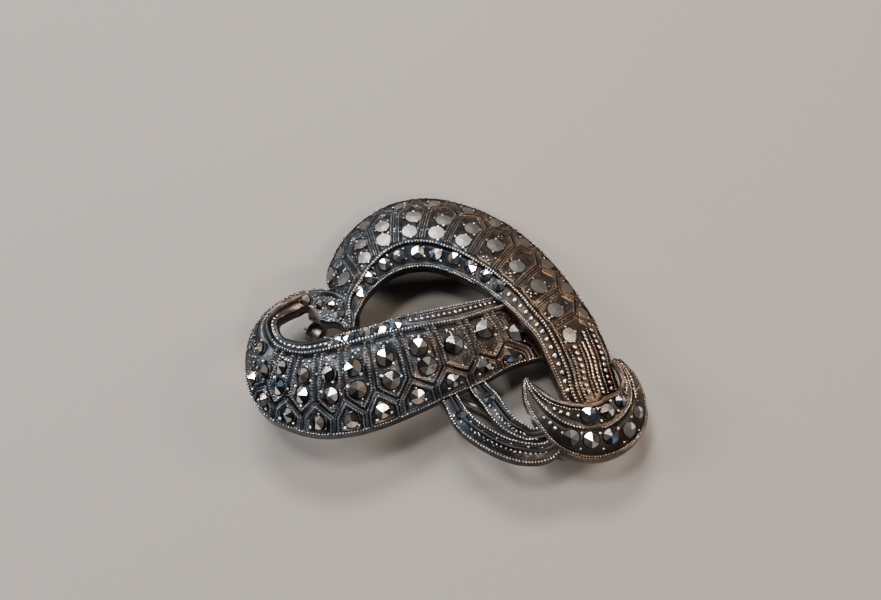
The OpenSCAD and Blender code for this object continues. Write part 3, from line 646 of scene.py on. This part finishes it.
def cast(name):
    band = BANDS[name]
    run = lengths(band.point(band.grid_t, MIDDLE_W))
    t = np.interp(np.linspace(0, run[-1], int(run[-1] / FINE)), run, band.grid_t)
    edge, rim = band.edge(t), band.rim(t)
    n_strip, n_field = max(2, int(-edge.min() / FINE)), max(2, int(rim.max() / FINE))
    s = np.array([columns(e, r, n_strip, n_field) for e, r in zip(edge, rim)])
    t, edge, rim = t[:, None], edge[:, None], rim[:, None]
    w = band.w_at(t, s)
    base = band.point(t, w)
    lift, wear_and_painted_light = relief(name, t, s, edge, rim, base)
    face = base + band.normal(t, w) * lift[..., None]
    back = band.point(t, BACK_W) - [0, 0, WALL]
    back[:, [0, -1], 2] += BACK_RISE
    rings = np.concatenate([face, back], axis=1)
    worn = np.concatenate([wear_and_painted_light, np.full(back.shape[:2], BACK_WORN)], axis=1)
    worn[:, [s.shape[1], -1]] = WORN[name][2]
    n, m = worn.shape
    faces = ring_faces(n, m)
    made = make_piece("cast_" + name, rings.reshape(-1, 3), faces, cast_silver,
                      wear_and_painted_light=np.clip(worn, 0, 1).ravel())
    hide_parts("scroll")
    print("cast_" + name, n, "sections of", m, "points:", len(fans(faces)), "triangles")

for name in ROWS:
    cast(name)

# %% [markdown]
# ## Milled wires
# A milled wire is a round wire rolled under a knurled wheel: a row of tiny pearls. It frames every
# cell and runs along every rail. It is swept here with a radius that swells and narrows, four rings
# to a pearl, so each pearl catches its own light.

# %% Sweeping a milled wire
class Heap:
    """Points and faces of many small forms, gathered for one piece."""
    def __init__(self):
        self.points, self.faces, self.wear_and_painted_light, self.warmer, self.count = [], [], [], [], 0

    def add(self, points, faces, wear_and_painted_light, warmer=0.0):
        self.points.append(points)
        self.faces += [[self.count + i for i in f] for f in faces]
        self.wear_and_painted_light.append(wear_and_painted_light)
        self.warmer.append(np.full(len(points), warmer))
        self.count += len(points)

    def piece(self, name, material):
        made = make_piece(name, np.concatenate(self.points), self.faces, material,
                          np.concatenate(self.wear_and_painted_light), np.concatenate(self.warmer))
        print(name, len(fans(self.faces)), "triangles")

RING = 6
PEARL = [
    # radius, how far rubbed, at four places along one pearl
    (0.3, 0.0), (0.85, 0.4), (1.0, 1.0), (0.85, 0.4)]
PLAIN = [
    # the same for a smooth wire
    (0.85, 0.66)]

def milled_wire(heap, points, normals, radius, pitch, shine=0.95, form=PEARL, worn=0.0):
    """A wire along points; where worn is above 0 its pearls are worn towards a smooth wire."""
    run = lengths(points)
    at = np.linspace(0, run[-1], max(4, int(round(run[-1] * len(form) / pitch))) + 1)
    table = np.column_stack([points, normals, np.broadcast_to(worn, len(points))])
    line = np.stack([np.interp(at, run, column) for column in table.T], -1)
    points, normals, worn = line[:, :3], unit(line[:, 3:6]), line[:, 6:]
    side = unit(np.cross(unit(np.gradient(points, axis=0)), normals))
    pearl = np.array(form)[np.arange(len(points)) % len(form)]
    pearl = pearl + worn * (np.array(PLAIN) - pearl)
    x, z = circle(RING, np.pi / 2)
    ring = x[:, None] * side[:, None] + z[:, None] * normals[:, None]
    rings = points[:, None] + radius * pearl[:, :1, None] * ring
    high = np.clip(0.5 + 0.4 * z, 0, 1)
    heap.add(rings.reshape(-1, 3), ring_faces(len(points), RING),
             (shine * high * pearl[:, 1:]).ravel())

def on_face(band, t, w, up):
    t, w = np.asarray(t, float), np.asarray(w, float)
    normal = band.normal(t, w)
    return band.point(t, w) + normal * up, normal

# %% Wires along the rails
PER_ROW = 12  # samples of a wire in one row of a band

def rail_wire(heap, name, t0, t1, offset, start, radius, pitch, up):
    """A wire at an even distance from the edge, the main rail or the rim."""
    band = BANDS[name]
    t = np.linspace(t0, t1, int(abs(t1 - t0) * PER_ROW) + 2)
    base = {"edge": band.edge(t), "rail": 0 * t, "rim": band.rim(t)}[start]
    narrow = narrowed(band.edge(t)) if start == "edge" else 1
    points, normals = on_face(band, t, band.w_at(t, base + offset * narrow), up)
    milled_wire(heap, points, normals, radius, pitch)

rails = Heap()
RAIL_WIRES = [
    # band, from t, to t, offset, measured from, radius, pitch, up
    ["arch", 0.3, 9.0, 0.2, "edge", 0.14, 0.31, 0.08],
    ["arch", 8.8, 17.6, 0.5, "edge", 0.12, 0.31, 0.12],
    ["arch", 0.3, 17.8, RAIL_LINE, "rail", 0.18, 0.34, 0.21],
    ["arch", 1.0, 17.6, -RIM_LINE, "rim", 0.1, 0.27, 0.08],
    ["band", 0.2, 6.3, INNER_LINE, "edge", 0.12, 0.3, 0.14],
    ["band", 0.2, 3.6, 0.56, "edge", 0.07, 0.25, 0.03],
    ["band", 6.8, 13.6, 0.82, "edge", 0.08, 0.27, 0.03],
    ["band", 0.2, 10.4, RAIL_LINE, "rail", 0.17, 0.32, 0.21],
    ["band", 0.3, 11.0, -RIM_LINE, "rim", 0.12, 0.3, 0.08],
    ["cap", 4.6, 9.5, 0.68, "edge", 0.11, 0.3, 0.08],
    ["cap", 6.2, 9.8, 0.02, "rail", 0.14, 0.3, 0.19],
    ["cap", 0.4, 5.4, -0.05, "rail", 0.11, 0.28, 0.17],
    ["cap", 0.4, 9.8, -0.46, "rim", 0.12, 0.28, 0.05],
    ["outer_strand", 0.5, 7.0, 0.26, "edge", 0.15, 0.32, 0.12],
    ["outer_strand", 0.5, 7.0, -0.17, "rim", 0.15, 0.32, 0.12],
    ["inner_strand", 0.8, 7.0, 0.26, "edge", 0.14, 0.32, 0.12],
    ["inner_strand", 0.8, 7.0, -0.17, "rim", 0.14, 0.32, 0.12],
]
for row in RAIL_WIRES:
    rail_wire(rails, *row)

END_LINES = [
    # band, from t, to t, from w, to w, radius, pitch: where a band has no cells
    ["arch", 12.9, 17.7, 0.075, 0.075, 0.12, 0.3],
    ["arch", 14.9, 17.7, 0.165, 0.165, 0.14, 0.33],
    ["arch", 15.0, 17.7, 0.385, 0.385, 0.11, 0.3],
    ["arch", 14.3, 17.7, 0.68, 0.68, 0.11, 0.3],
    ["arch", 14.2, 17.7, 0.88, 0.89, 0.11, 0.3],
]
for name, t0, t1, w0, w1, radius, pitch in END_LINES:
    places = sampled(BANDS[name], [(t0, w0), (t1, w1)])
    points, normals = on_face(BANDS[name], *places.T, 0.05)
    milled_wire(rails, points, normals, radius, pitch, shine=0.85)
rails.piece("milled_rails", rubbed_silver)

# %% [markdown]
# ## Wires round the cells
# Each cell's wire lies a little inside the channel's middle line. A maker would bend it from one
# length, with rounded corners, so the line is moved sideways over the surface and then smoothed.

# %% Moving a line sideways on a curved face
def inset(band, line, off, towards):
    """The line moved off mm over the surface, to the side that holds the place towards."""
    line, moved = [np.array(p, float) for p in line], []
    for k, p in enumerate(line):
        j = np.stack(band.slopes(*p), 1)
        metric = np.linalg.cholesky(j.T @ j).T
        near = line[max(k - 1, 0):k + 2]
        ways = [unit(metric @ (b - a)) for a, b in zip(near, near[1:])]
        sides = [np.array([-v[1], v[0]]) for v in ways]
        if k == 0:
            sign = np.sign(sides[0] @ metric @ (np.array(towards, float) - p))
        step = (sides[0] + sides[-1]) / (1 + sides[0] @ sides[-1])
        moved.append(p + np.linalg.solve(metric, step * off * sign))
    return moved

def laid_wire(heap, band, line, off, towards, radius, pitch, up=0.11, **more):
    """A wire along a line moved sideways; its pearls wear away where the cells fork."""
    places = sampled(band, inset(band, line, off, towards))
    for _ in range(3):
        places[1:-1] = (places[:-2] + 2 * places[1:-1] + places[2:]) / 4
    points, normals = on_face(band, *places.T, up)
    worn = 0.55 * step_up(places[:, 1], FORK_W - 0.06, FORK_W + 0.05)
    milled_wire(heap, points, normals, radius, pitch, worn=worn, **more)

# %% Wires of all cells
cells, fine_lines = Heap(), Heap()
for name, stems in STEMS.items():
    band, (off, radius, pitch) = BANDS[name], CELL_WIRES[name]
    middles = meets(stems)
    sides = [[(foot, TOP_W), (fork, FORK_W)] for foot, fork, _ in stems]
    shape = {"radius": radius, "pitch": pitch, "shine": 0.74}
    fine = {"radius": 0.055, "pitch": 0.16, "up": 0.04, "shine": 0.75, "form": PLAIN}
    for a, b, m in zip(sides, sides[1:], middles[1:]):
        laid_wire(cells, band, a + [(m, MEET_W)] + b[::-1], off, (m, 0.3), **shape)
    for k, (_, fork, half) in enumerate(stems):
        a, b = middles[k], middles[k + 1]
        line = [(a, END_W), (a, MEET_W), (fork, FORK_W), (b, MEET_W), (b, END_W)]
        laid_wire(cells, band, line, off, (half, 0.9), **shape)
        laid_wire(fine_lines, band, line, 0.08, (half, 0.9), **fine)
    for m, side, way in ((middles[0], sides[0], -0.5), (middles[-1], sides[-1], 0.5)):
        laid_wire(cells, band, [(m, MEET_W)] + side[::-1], off, (side[0][0] + way, 0.3), **shape)
for foot, fork, _ in STEMS["arch"][1:]:
    for way in (-0.5, 0.5):
        laid_wire(cells, BANDS["arch"], [(foot, TOP_W), (fork, FORK_W)], 0.14, (foot + way, 0.3),
                  0.09, 0.23, up=0.08, shine=0.8)
cells.piece("cell_wires", rubbed_silver)
fine_lines.piece("fine_lines", rubbed_silver)

# %% [markdown]
# ## Grains
# A setter raises little curls of metal with a graver and rounds each into a bead that grips the
# stone. Loose rows of the same beads fill what is left. One round bead is made once and repeated.

# %% One bead, many times
def ball():
    """A small ball: 42 points, 80 triangles."""
    bm = bmesh.new()
    bmesh.ops.create_icosphere(bm, subdivisions=2, radius=1)
    points = np.array([v.co for v in bm.verts])
    faces = [tuple(v.index for v in f.verts) for f in bm.faces]
    bm.free()
    return points, faces

BALL, BALL_FACES = ball()
SQUARED = np.sign(BALL) * np.abs(BALL) ** 0.72
FLAT = 0.8

def bead(heap, band, t, w, radius, up=0.0, shine=0.84, form=BALL, warmer=0.0):
    """A bead half sunk in the face."""
    c, z = on_face(band, t, w, up)
    x = band.along(t, w)
    points = c + radius * form @ np.array([x, np.cross(z, x), z * FLAT])
    wear_and_painted_light = shine * np.clip(0.4 + 0.6 * BALL[:, 2], 0.05, 1)
    heap.add(points, BALL_FACES, wear_and_painted_light, warmer)

def shifted(band, t, w, ahead, out):
    """The place that lies ahead mm along and out mm across from t and w."""
    along, across = (np.linalg.norm(v) for v in band.slopes(t, w))
    return t + ahead / along, w + out / across

dice = np.random.default_rng(11)
grains = Heap()
# Room beside a stone in mm, share of a grain's radius outside it, and chance in degrees.
BESIDE, SHARE, TURN = 0.08, 0.75, 12
GRIPS = {
    # field: angle round a stone in degrees and radius of each of its grains
    "arch_stones": [(95, 0.17), (285, 0.17), (30, 0.11), (170, 0.12)],
    "arch_rim_stones": [(45, 0.14), (150, 0.15)],
    "arch_border_stones": [(40, 0.13), (325, 0.12)],
    "band_rim_stones": [(38, 0.19), (142, 0.17), (270, 0.13)],
    "band_border_stones": [(32, 0.15), (328, 0.1)],
    "loop_stones": [(40, 0.13), (320, 0.12)], "cap_stones": [],
    "strand_stones": [(60, 0.14), (150, 0.13), (300, 0.13)],
}
UPPER_GRIPS = [(140, 0.2), (262, 0.12), (355, 0.12)]
LOWER_GRIPS = [(322, 0.21), (100, 0.13), (190, 0.13)]

def grips(field, w):
    if field == "band_stones":
        return UPPER_GRIPS if w < 0.45 else LOWER_GRIPS
    return GRIPS[field]

for field in SEATS:
    for name, t, w, d in seat_list(field):
        for angle, radius in grips(field, w):
            a = math.radians(angle + dice.uniform(-TURN, TURN))
            far = d / 2 + BESIDE + radius * SHARE
            spot = shifted(BANDS[name], t, w, math.cos(a) * far, math.sin(a) * far)
            bead(grains, BANDS[name], *spot, radius * dice.uniform(0.85, 1.15), up=0.12)

# %% Rows of beads
def bead_row(heap, name, t0, t1, w0, w1, radius, pitch, warmer):
    """Beads every pitch mm from (t0, w0) to (t1, w1), squared ones except on the strands."""
    band, form = BANDS[name], BALL if "strand" in name else SQUARED
    places = sampled(band, [(t0, w0), (t1, w1)])
    run = lengths(band.point(*places.T))
    for at in np.arange(0, run[-1] + 1e-6, pitch):
        t, w = (np.interp(at, run, column) for column in places.T)
        bead(heap, band, t, w, radius * dice.uniform(0.88, 1.1), up=0.04, form=form, warmer=warmer)

BEAD_ROWS = [
    # band, from t, to t, from w, to w, radius, pitch, how much warmer
    ["arch", 10.65, 17.2, -0.42, -0.4, 0.25, 0.96, 0],
    ["band", 3.5, 0.3, -0.54, -0.54, 0.16, 0.62, 0.3],
    ["band", 6.9, 10.6, -0.5, -0.5, 0.155, 0.58, 0],
    ["band", 10.9, 13.6, -0.5, -0.44, 0.12, 0.48, 0],
    ["arch", 15.0, 17.6, 0.275, 0.275, 0.27, 0.7, 0.4],
    ["arch", 15.0, 17.6, 0.475, 0.475, 0.17, 0.36, 0.8],
    ["arch", 14.5, 17.6, 0.575, 0.575, 0.21, 0.43, 0.8],
    ["arch", 14.2, 17.6, 0.785, 0.785, 0.26, 0.7, 0],
    ["cap", 0.5, 2.9, -0.42, -0.4, 0.13, 0.32, 0],
    ["cap", 0.6, 2.7, 0.25, 0.25, 0.14, 0.34, 0],
    ["outer_strand", 4.55, 0.9, -0.2, -0.1, 0.16, 0.8, 0],
    ["outer_strand", 4.3, 1.2, 0.3, 0.25, 0.1, 0.5, 0],
    ["outer_strand", 5.8, 7.0, 0.0, 0.0, 0.13, 0.45, 0],
    ["inner_strand", 4.2, 1.2, -0.1, 0.0, 0.15, 0.7, 0],
    ["inner_strand", 3.9, 1.4, 0.4, 0.35, 0.1, 0.45, 0],
    ["inner_strand", 5.7, 7.0, 0.0, 0.0, 0.13, 0.45, 0],
]
for row in BEAD_ROWS:
    bead_row(grains, *row)
LONE_BEADS = [
    # t, w, radius: all on the cap
    (7.82, -0.37, 0.21), (7.47, -0.38, 0.22), (7.08, -0.43, 0.22), (6.55, -0.47, 0.18),
    (7.97, 0.44, 0.2), (7.65, 0.39, 0.21), (7.39, 0.43, 0.22), (7.07, 0.42, 0.18),
    (5.36, -0.72, 0.19), (5.3, -0.25, 0.17), (4.1, -0.75, 0.2), (4.1, -0.25, 0.2),
    (6.3, 0.2, 0.16), (6.28, 0.72, 0.13), (5.5, 0.2, 0.16), (5.45, 0.7, 0.15),
    (4.62, 0.25, 0.17), (4.6, 0.75, 0.14), (3.75, 0.3, 0.16), (3.8, 0.8, 0.13)]
for t, w, radius in LONE_BEADS:
    bead(grains, BANDS["cap"], t, w, radius, up=0.06)

# %% Granular patches
def clear_of_stones(p, gap):
    return all(np.linalg.norm(p - BANDS[name].point(t, w)) > d / 2 + gap
               for field in SEATS for name, t, w, d in seat_list(field))

def patch(heap, name, t0, t1, w0, w1, count, low, high, warmer):
    """Small beads strewn over a patch, none on another and none on a stone."""
    band, kept = BANDS[name], []
    for _ in range(count * 6):
        t, w, radius = dice.uniform(t0, t1), dice.uniform(w0, w1), dice.uniform(low, high)
        p = band.point(t, w)
        free = all(np.linalg.norm(p - q) > radius + r + 0.05 for q, r in kept)
        if free and clear_of_stones(p, radius + 0.1):
            kept.append((p, radius))
            bead(heap, band, t, w, radius, up=0.03, shine=0.7, warmer=warmer)
        if len(kept) == count:
            break
    return len(kept)

PATCHES = [
    # band, from t, to t, from w, to w, how many, radius from, to, how much warmer
    ["band", 9.9, 12.8, 0.45, 0.92, 46, 0.09, 0.16, -0.2],
    ["band", 12.8, 16.2, 0.2, 0.9, 60, 0.08, 0.13, 0.2],
    ["band", 16.2, 20.2, -0.9, -0.12, 34, 0.08, 0.14, -0.3],
    ["band", 16.0, 19.6, 0.15, 0.85, 30, 0.08, 0.12, -0.3],
    ["arch", 0.6, 2.2, 0.1, 0.8, 16, 0.08, 0.12, -0.3],
    ["cap", 0.4, 3.0, -0.7, 0.7, 30, 0.09, 0.14, 0.2],
    ["arch", 2.0, 14.0, 0.08, 0.92, 170, 0.06, 0.11, 0.1],
    ["band", 0.3, 9.6, 0.1, 0.95, 110, 0.05, 0.09, 0.3],
    ["outer_strand", 0.9, 4.6, -0.5, 0.5, 26, 0.07, 0.12, 0.5],
    ["inner_strand", 1.2, 4.4, -0.5, 0.5, 22, 0.07, 0.12, 0.3],
]
print("patches:", [patch(grains, *row) for row in PATCHES], "beads")

# %% Beads in the cells' corners
CORNERS = [
    # ahead and out in mm, measured from w, radius
    (-0.35, 0.6, TOP_W, 0.13), (0.3, 0.55, TOP_W, 0.14), (0.05, 0.85, TOP_W, 0.12),
    (0.0, -0.75, MEET_W, 0.13), (-0.3, -1.0, MEET_W, 0.1), (0.35, -1.1, MEET_W, 0.1)]
for name, stems in STEMS.items():
    band = BANDS[name]
    for a, b in zip(stems, stems[1:]):
        for ahead, out, w, radius in CORNERS:
            m = (a[0] + b[0]) / 2 if w == TOP_W else (a[2] + b[2]) / 2
            t, w = shifted(band, m, w, ahead, out)
            if clear_of_stones(band.point(t, w), radius + 0.08):
                bead(grains, band, t, w, radius, up=0.03)
grains.piece("grain_beads", rubbed_silver)

# %% [markdown]
# ## Marcasites
# Marcasite jewellery uses pyrite, cut as a low six-sided rose: a thin girdle and six facets that
# meet in a point. Each stone is a hexagonal point cut by a round girdle, so the girdle's upper edge
# is scalloped. The facets stay flat, because the sparkle comes from whole facets lighting up. Each
# facet is also painted its own tone, from painted shade to painted highlight, with a few copper and
# blue painted reflections.

# %% The marcasite material
stone_cut, tree, shader = new_material("marcasite_facets")
# Each facet's colour is painted light: a tone from painted shade to painted highlight.
colours = node(tree, "ValToRGB", {0: stored(tree, "facet")})
colours.color_ramp.interpolation = "CONSTANT"
FACET_PAINTED_LIGHT = [
    # share from which it runs, colour: painted shade, greys, painted highlight, copper and blue painted
    # reflections
    (0.0, (0.132, 0.121, 0.113)), (0.14, (0.165, 0.152, 0.144)), (0.28, (0.42, 0.39, 0.365)),
    (0.44, (0.60, 0.58, 0.55)), (0.6, (0.82, 0.80, 0.77)), (0.76, (1.0, 0.99, 0.98)),
    (0.92, (0.62, 0.44, 0.34)), (0.96, (0.18, 0.30, 0.52))]
while len(colours.color_ramp.elements) < len(FACET_PAINTED_LIGHT):
    colours.color_ramp.elements.new(0.5)
for element, (at, tone) in zip(colours.color_ramp.elements, FACET_PAINTED_LIGHT):
    element.position = at
    element.color = (*tone, 1)
give(tree, shader["Base Color"], colours.outputs[0])
polish = stretch(tree, cloud(tree, 1200.0, 1.0), 0.35, 0.75, 0.1, 0.15)
HAZE = 0.3
hazed = {0: stored(tree, "haze"), 1: HAZE, 2: polish}
hazed = node(tree, "Math", hazed, operation="MULTIPLY_ADD").outputs[0]
give(tree, shader["Roughness"], hazed)
print(len(FACET_PAINTED_LIGHT), "facet tones")

# %% Cutting and seating the stones
GIRDLE, FACETS = 24, 6
SLACK, SUNK = 0.02, 0.15  # mm round the stone in its seat, and its depth under the girdle

def cut_stone(d, rise):
    """Points and faces of one stone on its flat back, with +Z out of the face."""
    r, h = d / 2 - SLACK, d * rise
    slope = (h - 0.12 * r) / r
    x, y = circle(GIRDLE)
    angle = np.arange(GIRDLE) * 2 * np.pi / GIRDLE
    mid = np.mod(angle + np.pi / FACETS, 2 * np.pi / FACETS) - np.pi / FACETS
    rim = h - r * np.cos(mid) * slope
    points = np.concatenate([np.stack([r * x, r * y, 0 * x - SUNK], -1),
                             np.stack([r * x, r * y, rim], -1), [[0, 0, h]]])
    faces = [list(range(GIRDLE))[::-1]] + ring_faces(2, GIRDLE)[:GIRDLE]
    facet_of = [-1] * len(faces)
    per = GIRDLE // FACETS
    for f in range(FACETS):
        start = f * per - per // 2
        faces.append([GIRDLE + (start + k) % GIRDLE for k in range(per + 1)] + [2 * GIRDLE])
        facet_of.append(f)
    return points, faces, facet_of

LEVEL = 0.4 * np.array([0, -0.25, 0.97])
LEFT_LEAN, LEFT_FROM, LEFT_OVER, SINK = 0.6, -8.5, 3.5, 0.2

def seat_frame(band, t, w, spin, tilt, d):
    """Place and axes of a stone: turned a little to the eye, and outwards at the left end."""
    c, out = on_face(band, t, w, 0.0)
    left = LEFT_LEAN * np.clip((LEFT_FROM - c[0]) / LEFT_OVER, 0, 1)
    z = unit(out + LEVEL + left * np.array([-1.0, 0, 0]))
    c = c - z * SINK * d * np.linalg.norm(np.cross(out, z))
    x = band.along(t, w)
    y = np.cross(z, x)
    a = math.radians(spin)
    x, y = x * math.cos(a) + y * math.sin(a), y * math.cos(a) - x * math.sin(a)
    z = unit(z + x * tilt[0] + y * tilt[1])
    x = unit(np.cross(y, z))
    return c, x, np.cross(z, x), z

# The arch's stones are worn: nearly flat and hazy, and all their facets take the darkest tone. The
# border stones' facets are painted even in tone, apart from a few painted blue reflections. The
# girdle's sides take a dark tone, a painted shadow ring round each stone.
WORN_RISE, RISE, GIRDLE_UP, GIRDLE_SHADOW_TONE = 0.1, 0.34, 0.11, 0.1
FLAT_FIELDS = ("arch_stones", "arch_rim_stones")

def cut_field(field):
    flat = field in FLAT_FIELDS
    points, faces, facet_light_paint = [], [], []
    for name, t, w, d in seat_list(field):
        own, own_faces, facet_of = cut_stone(d, WORN_RISE if flat else RISE)
        c, x, y, z = seat_frame(BANDS[name], t, w, dice.uniform(0, 60), dice.normal(0, 0.04, 2), d)
        start = len(points) * len(own)
        points.append(c + z * GIRDLE_UP + own @ np.array([x, y, z]))
        faces += [[start + i for i in f] for f in own_faces]
        # Each facet gets a random tone of painted light: shade, highlight and reflection.
        tone = dice.permutation(FACETS) / FACETS + dice.uniform(0, 1 / FACETS, FACETS)
        # Border stones: facets painted lighter, the highest ones painted as a blue reflection.
        if field.endswith("border_stones"):
            tone = np.where(tone > 0.86, 0.97, 0.3 + 0.6 * tone)
        if flat:
            tone = 0.02 + 0.1 * tone
        # The girdle's sides get the dark tone of a painted shadow ring.
        facet_light_paint += [GIRDLE_SHADOW_TONE if f < 0 else tone[f] for f in facet_of]
    made = make_piece("cut_" + field, np.concatenate(points), faces, stone_cut, smooth=False)
    store(made.data, "facet", "FACE", facet_light_paint)
    store(made.data, "haze", "FACE", np.full(len(facet_light_paint), float(flat)))
    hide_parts(field)
    print("cut_" + field, len(points), "stones")

for field in SEATS:
    cut_field(field)

# %% [markdown]
# ## Seats
# Round every stone the metal is cut away, and a thin black ring shows between stone and silver: a
# painted shadow. Each ring is a low collar, painted dark inside, which also covers the cast face under the stone's
# edge.

# %% A collar round each stone, painted dark as a shadow ring
collars = Heap()
COLLAR = [
    # distance from the stone's girdle, height, how far rubbed; the low values beside the stone paint a shadow ring
    (-0.06, -0.1, 0.0), (0.0, 0.03, 0.0), (0.07, 0.05, 0.0), (0.11, 0.09, 0.12), (0.15, 0.06, 0.25),
    (0.19, -0.1, 0.12), (0.2, -0.45, 0.05)]
SIDES = 24
COS, SIN = (v[:, None] for v in circle(SIDES))
for field in SEATS:
    for name, t, w, d in seat_list(field):
        c, x, y, z = seat_frame(BANDS[name], t, w, 0, (0, 0), d)
        rings = [c + (d / 2 + off) * (COS * x + SIN * y) + z * up for off, up, _ in COLLAR]
        collars.add(np.concatenate(rings), ring_faces(len(COLLAR), SIDES, closed=True),
                    np.repeat([row[2] for row in COLLAR], SIDES))
collars.piece("stone_seats", cast_silver)

# %% [markdown]
# ## Solder pads
# Under the cap and the loop the casting is thickened, so that the hinge and the hook have solid
# silver to be soldered to. Both are tapered blocks with softened edges.

# %% The two pads
PAD_BOTTOM, PAD_H, PAD_TOP, PAD_TOP_W = 0.8, 0.5, 2.6, 1.2
HOOK_R, PAD_WORN, PAD_SOFT = 1.13, 0.35, 0.12
SQUARE = ((-1, -1), (1, -1), (1, 1), (-1, 1))

def solder_pad(name, along_pin, across, long, wide):
    made = [[x * l / 2, y * v / 2, z] for l, v, z in (
        (long, wide, PAD_BOTTOM), (long, wide, PAD_BOTTOM + PAD_H),
        (PAD_TOP_W, PAD_TOP_W, PAD_TOP)) for x, y in SQUARE]
    place = HINGE * [1, 1, 0] + pin_way * along_pin + rivet_way * across
    points = place + np.array(made) @ np.array([pin_way, rivet_way, [0, 0, 1]])
    piece = make_piece(name, points, ring_faces(3, 4), cast_silver,
                       wear_and_painted_light=np.full(len(points), PAD_WORN), smooth=False)
    soft = piece.modifiers.new("soft_edges", "BEVEL")
    soft.width, soft.segments = PAD_SOFT * MM, 3
    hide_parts("scroll")
    print(name, long, "by", wide, "mm")

solder_pad("hinge_pad", 0.0, 0.0, 2.6, 2.1)
solder_pad("hook_pad", float(np.linalg.norm(CATCH - HINGE)), -HOOK_R, 1.6, 1.9)

# %% [markdown]
# ## Findings
# Hinge, rivet, hook and pin are bought in and soldered on, so they are plain. They keep their CAD
# shapes and get two finishes: tarnished silver with a soft skin, and drawn steel wire.

# %% Finishes of the findings
def finding(name, dull, clean, roughness):
    material, tree, shader = new_material(name)
    tarnish = ramp(tree, cloud(tree, 900.0), 0.4, 0.62)
    give(tree, shader["Base Color"], mix_colours(tree, tarnish, dull, clean))
    give(tree, shader["Roughness"],
         stretch(tree, tarnish, 0.0, 1.0, roughness + 0.12, roughness))
    give(tree, shader["Normal"], cast_bump(tree, COARSE_GRAIN, 0.3, 0.03 * MM))
    return material

tarnished = finding("tarnished_silver", (0.20, 0.17, 0.14, 1), (0.45, 0.42, 0.38, 1), 0.36)
bright_rivet = finding("rivet_silver", (0.45, 0.42, 0.38, 1), (0.75, 0.73, 0.70, 1), 0.28)
drawn_steel = finding("drawn_steel", (0.32, 0.31, 0.30, 1), (0.56, 0.56, 0.56, 1), 0.3)
for name, material in (("hinge_bracket", tarnished), ("hook_catch", tarnished),
                       ("hinge_rivet", bright_rivet), ("pin_stem", drawn_steel)):
    for own in frame["nodes"][name].material_slots:
        own.material = material
    print(name, "in", material.name)

# %% [markdown]
# ## Floor, light and camera
# The brooch lies on a plain pale sheet. Metal shows what stands round it, so the light is a few
# large soft panels: facets that look at a panel go white, and the others stay dark.

# %% The floor
REACH = 1.5
floor_mesh = bpy.data.meshes.new("floor")
floor_mesh.from_pydata([(x * REACH, y * REACH, 0) for x, y in SQUARE], [], [(0, 1, 2, 3)])
floor = add_object("floor", floor_mesh)
paper, tree, shader = new_material("pale_paper", metallic=0.0)
give(tree, shader["Roughness"], 0.75)
give(tree, shader["Base Color"], (0.165, 0.144, 0.127, 1))
floor_mesh.materials.append(paper)
print("floor", 2 * REACH, "m wide")

# %% Soft panels
def panel(name, at, size, power, colour):
    light = bpy.data.lights.new(name, "AREA")
    light.shape, light.energy, light.color = "RECTANGLE", power, colour
    light.size, light.size_y = size
    made = add_object(name, light)
    made.location = at
    made.rotation_euler = (-Vector(at)).to_track_quat("-Z", "Y").to_euler()
    print(name, power, "W")

panel("back_panel", (-0.05, 0.30, 0.32), (0.18, 0.09), 3.2, (1.0, 0.99, 0.97))
panel("left_panel", (-0.32, 0.02, 0.20), (0.10, 0.12), 1.8, (0.84, 0.92, 1.0))
panel("right_panel", (0.32, 0.06, 0.22), (0.08, 0.10), 1.3, (1.0, 0.88, 0.75))
panel("front_panel", (0.12, -0.30, 0.30), (0.07, 0.05), 1.3, (1.0, 0.97, 0.94))
panel("top_panel", (-0.10, 0.10, 0.42), (0.10, 0.08), 1.6, (1.0, 0.99, 0.98))

# %% The room round it
world = bpy.data.worlds.new("room")
bpy.context.scene.world = world
world.use_nodes = True
tree = world.node_tree
heading = node(tree, "TexCoord").outputs["Generated"]
towards_back = ramp(tree, node(tree, "SeparateXYZ", {0: heading}).outputs[1], -0.7, 0.8)
room = mix_colours(tree, towards_back, (0.16, 0.155, 0.15, 1), (0.62, 0.60, 0.57, 1))
backdrop = tree.nodes["Background"].inputs
give(tree, backdrop["Color"], room)
give(tree, backdrop["Strength"], 0.42)
print("room:", len(tree.nodes), "nodes")

# %% The camera
FOCAL_PIXELS, WIDTH, SENSOR = 885.0, 881.0, 36.0
CAMERA_AT = np.array([0.0, -54.46, 83.87])
camera_data = bpy.data.cameras.new("camera")
camera_data.sensor_width = SENSOR
camera_data.lens = SENSOR * FOCAL_PIXELS / WIDTH
camera_data.clip_start = 0.005
backwards = unit(CAMERA_AT)
across = np.array([1.0, 0.0, 0.0])
spun = turn @ side_by_side(across, np.cross(backwards, across))
pose = Matrix([[*spun[k], 0.0] for k in range(3)] + [[0, 0, 0, 1]])
pose.translation = Vector(laid(CAMERA_AT))
camera = add_object("camera", camera_data)
camera.matrix_world = pose
bpy.context.scene.camera = camera
print("camera at", [round(v * 1000, 1) for v in camera.location], "mm")
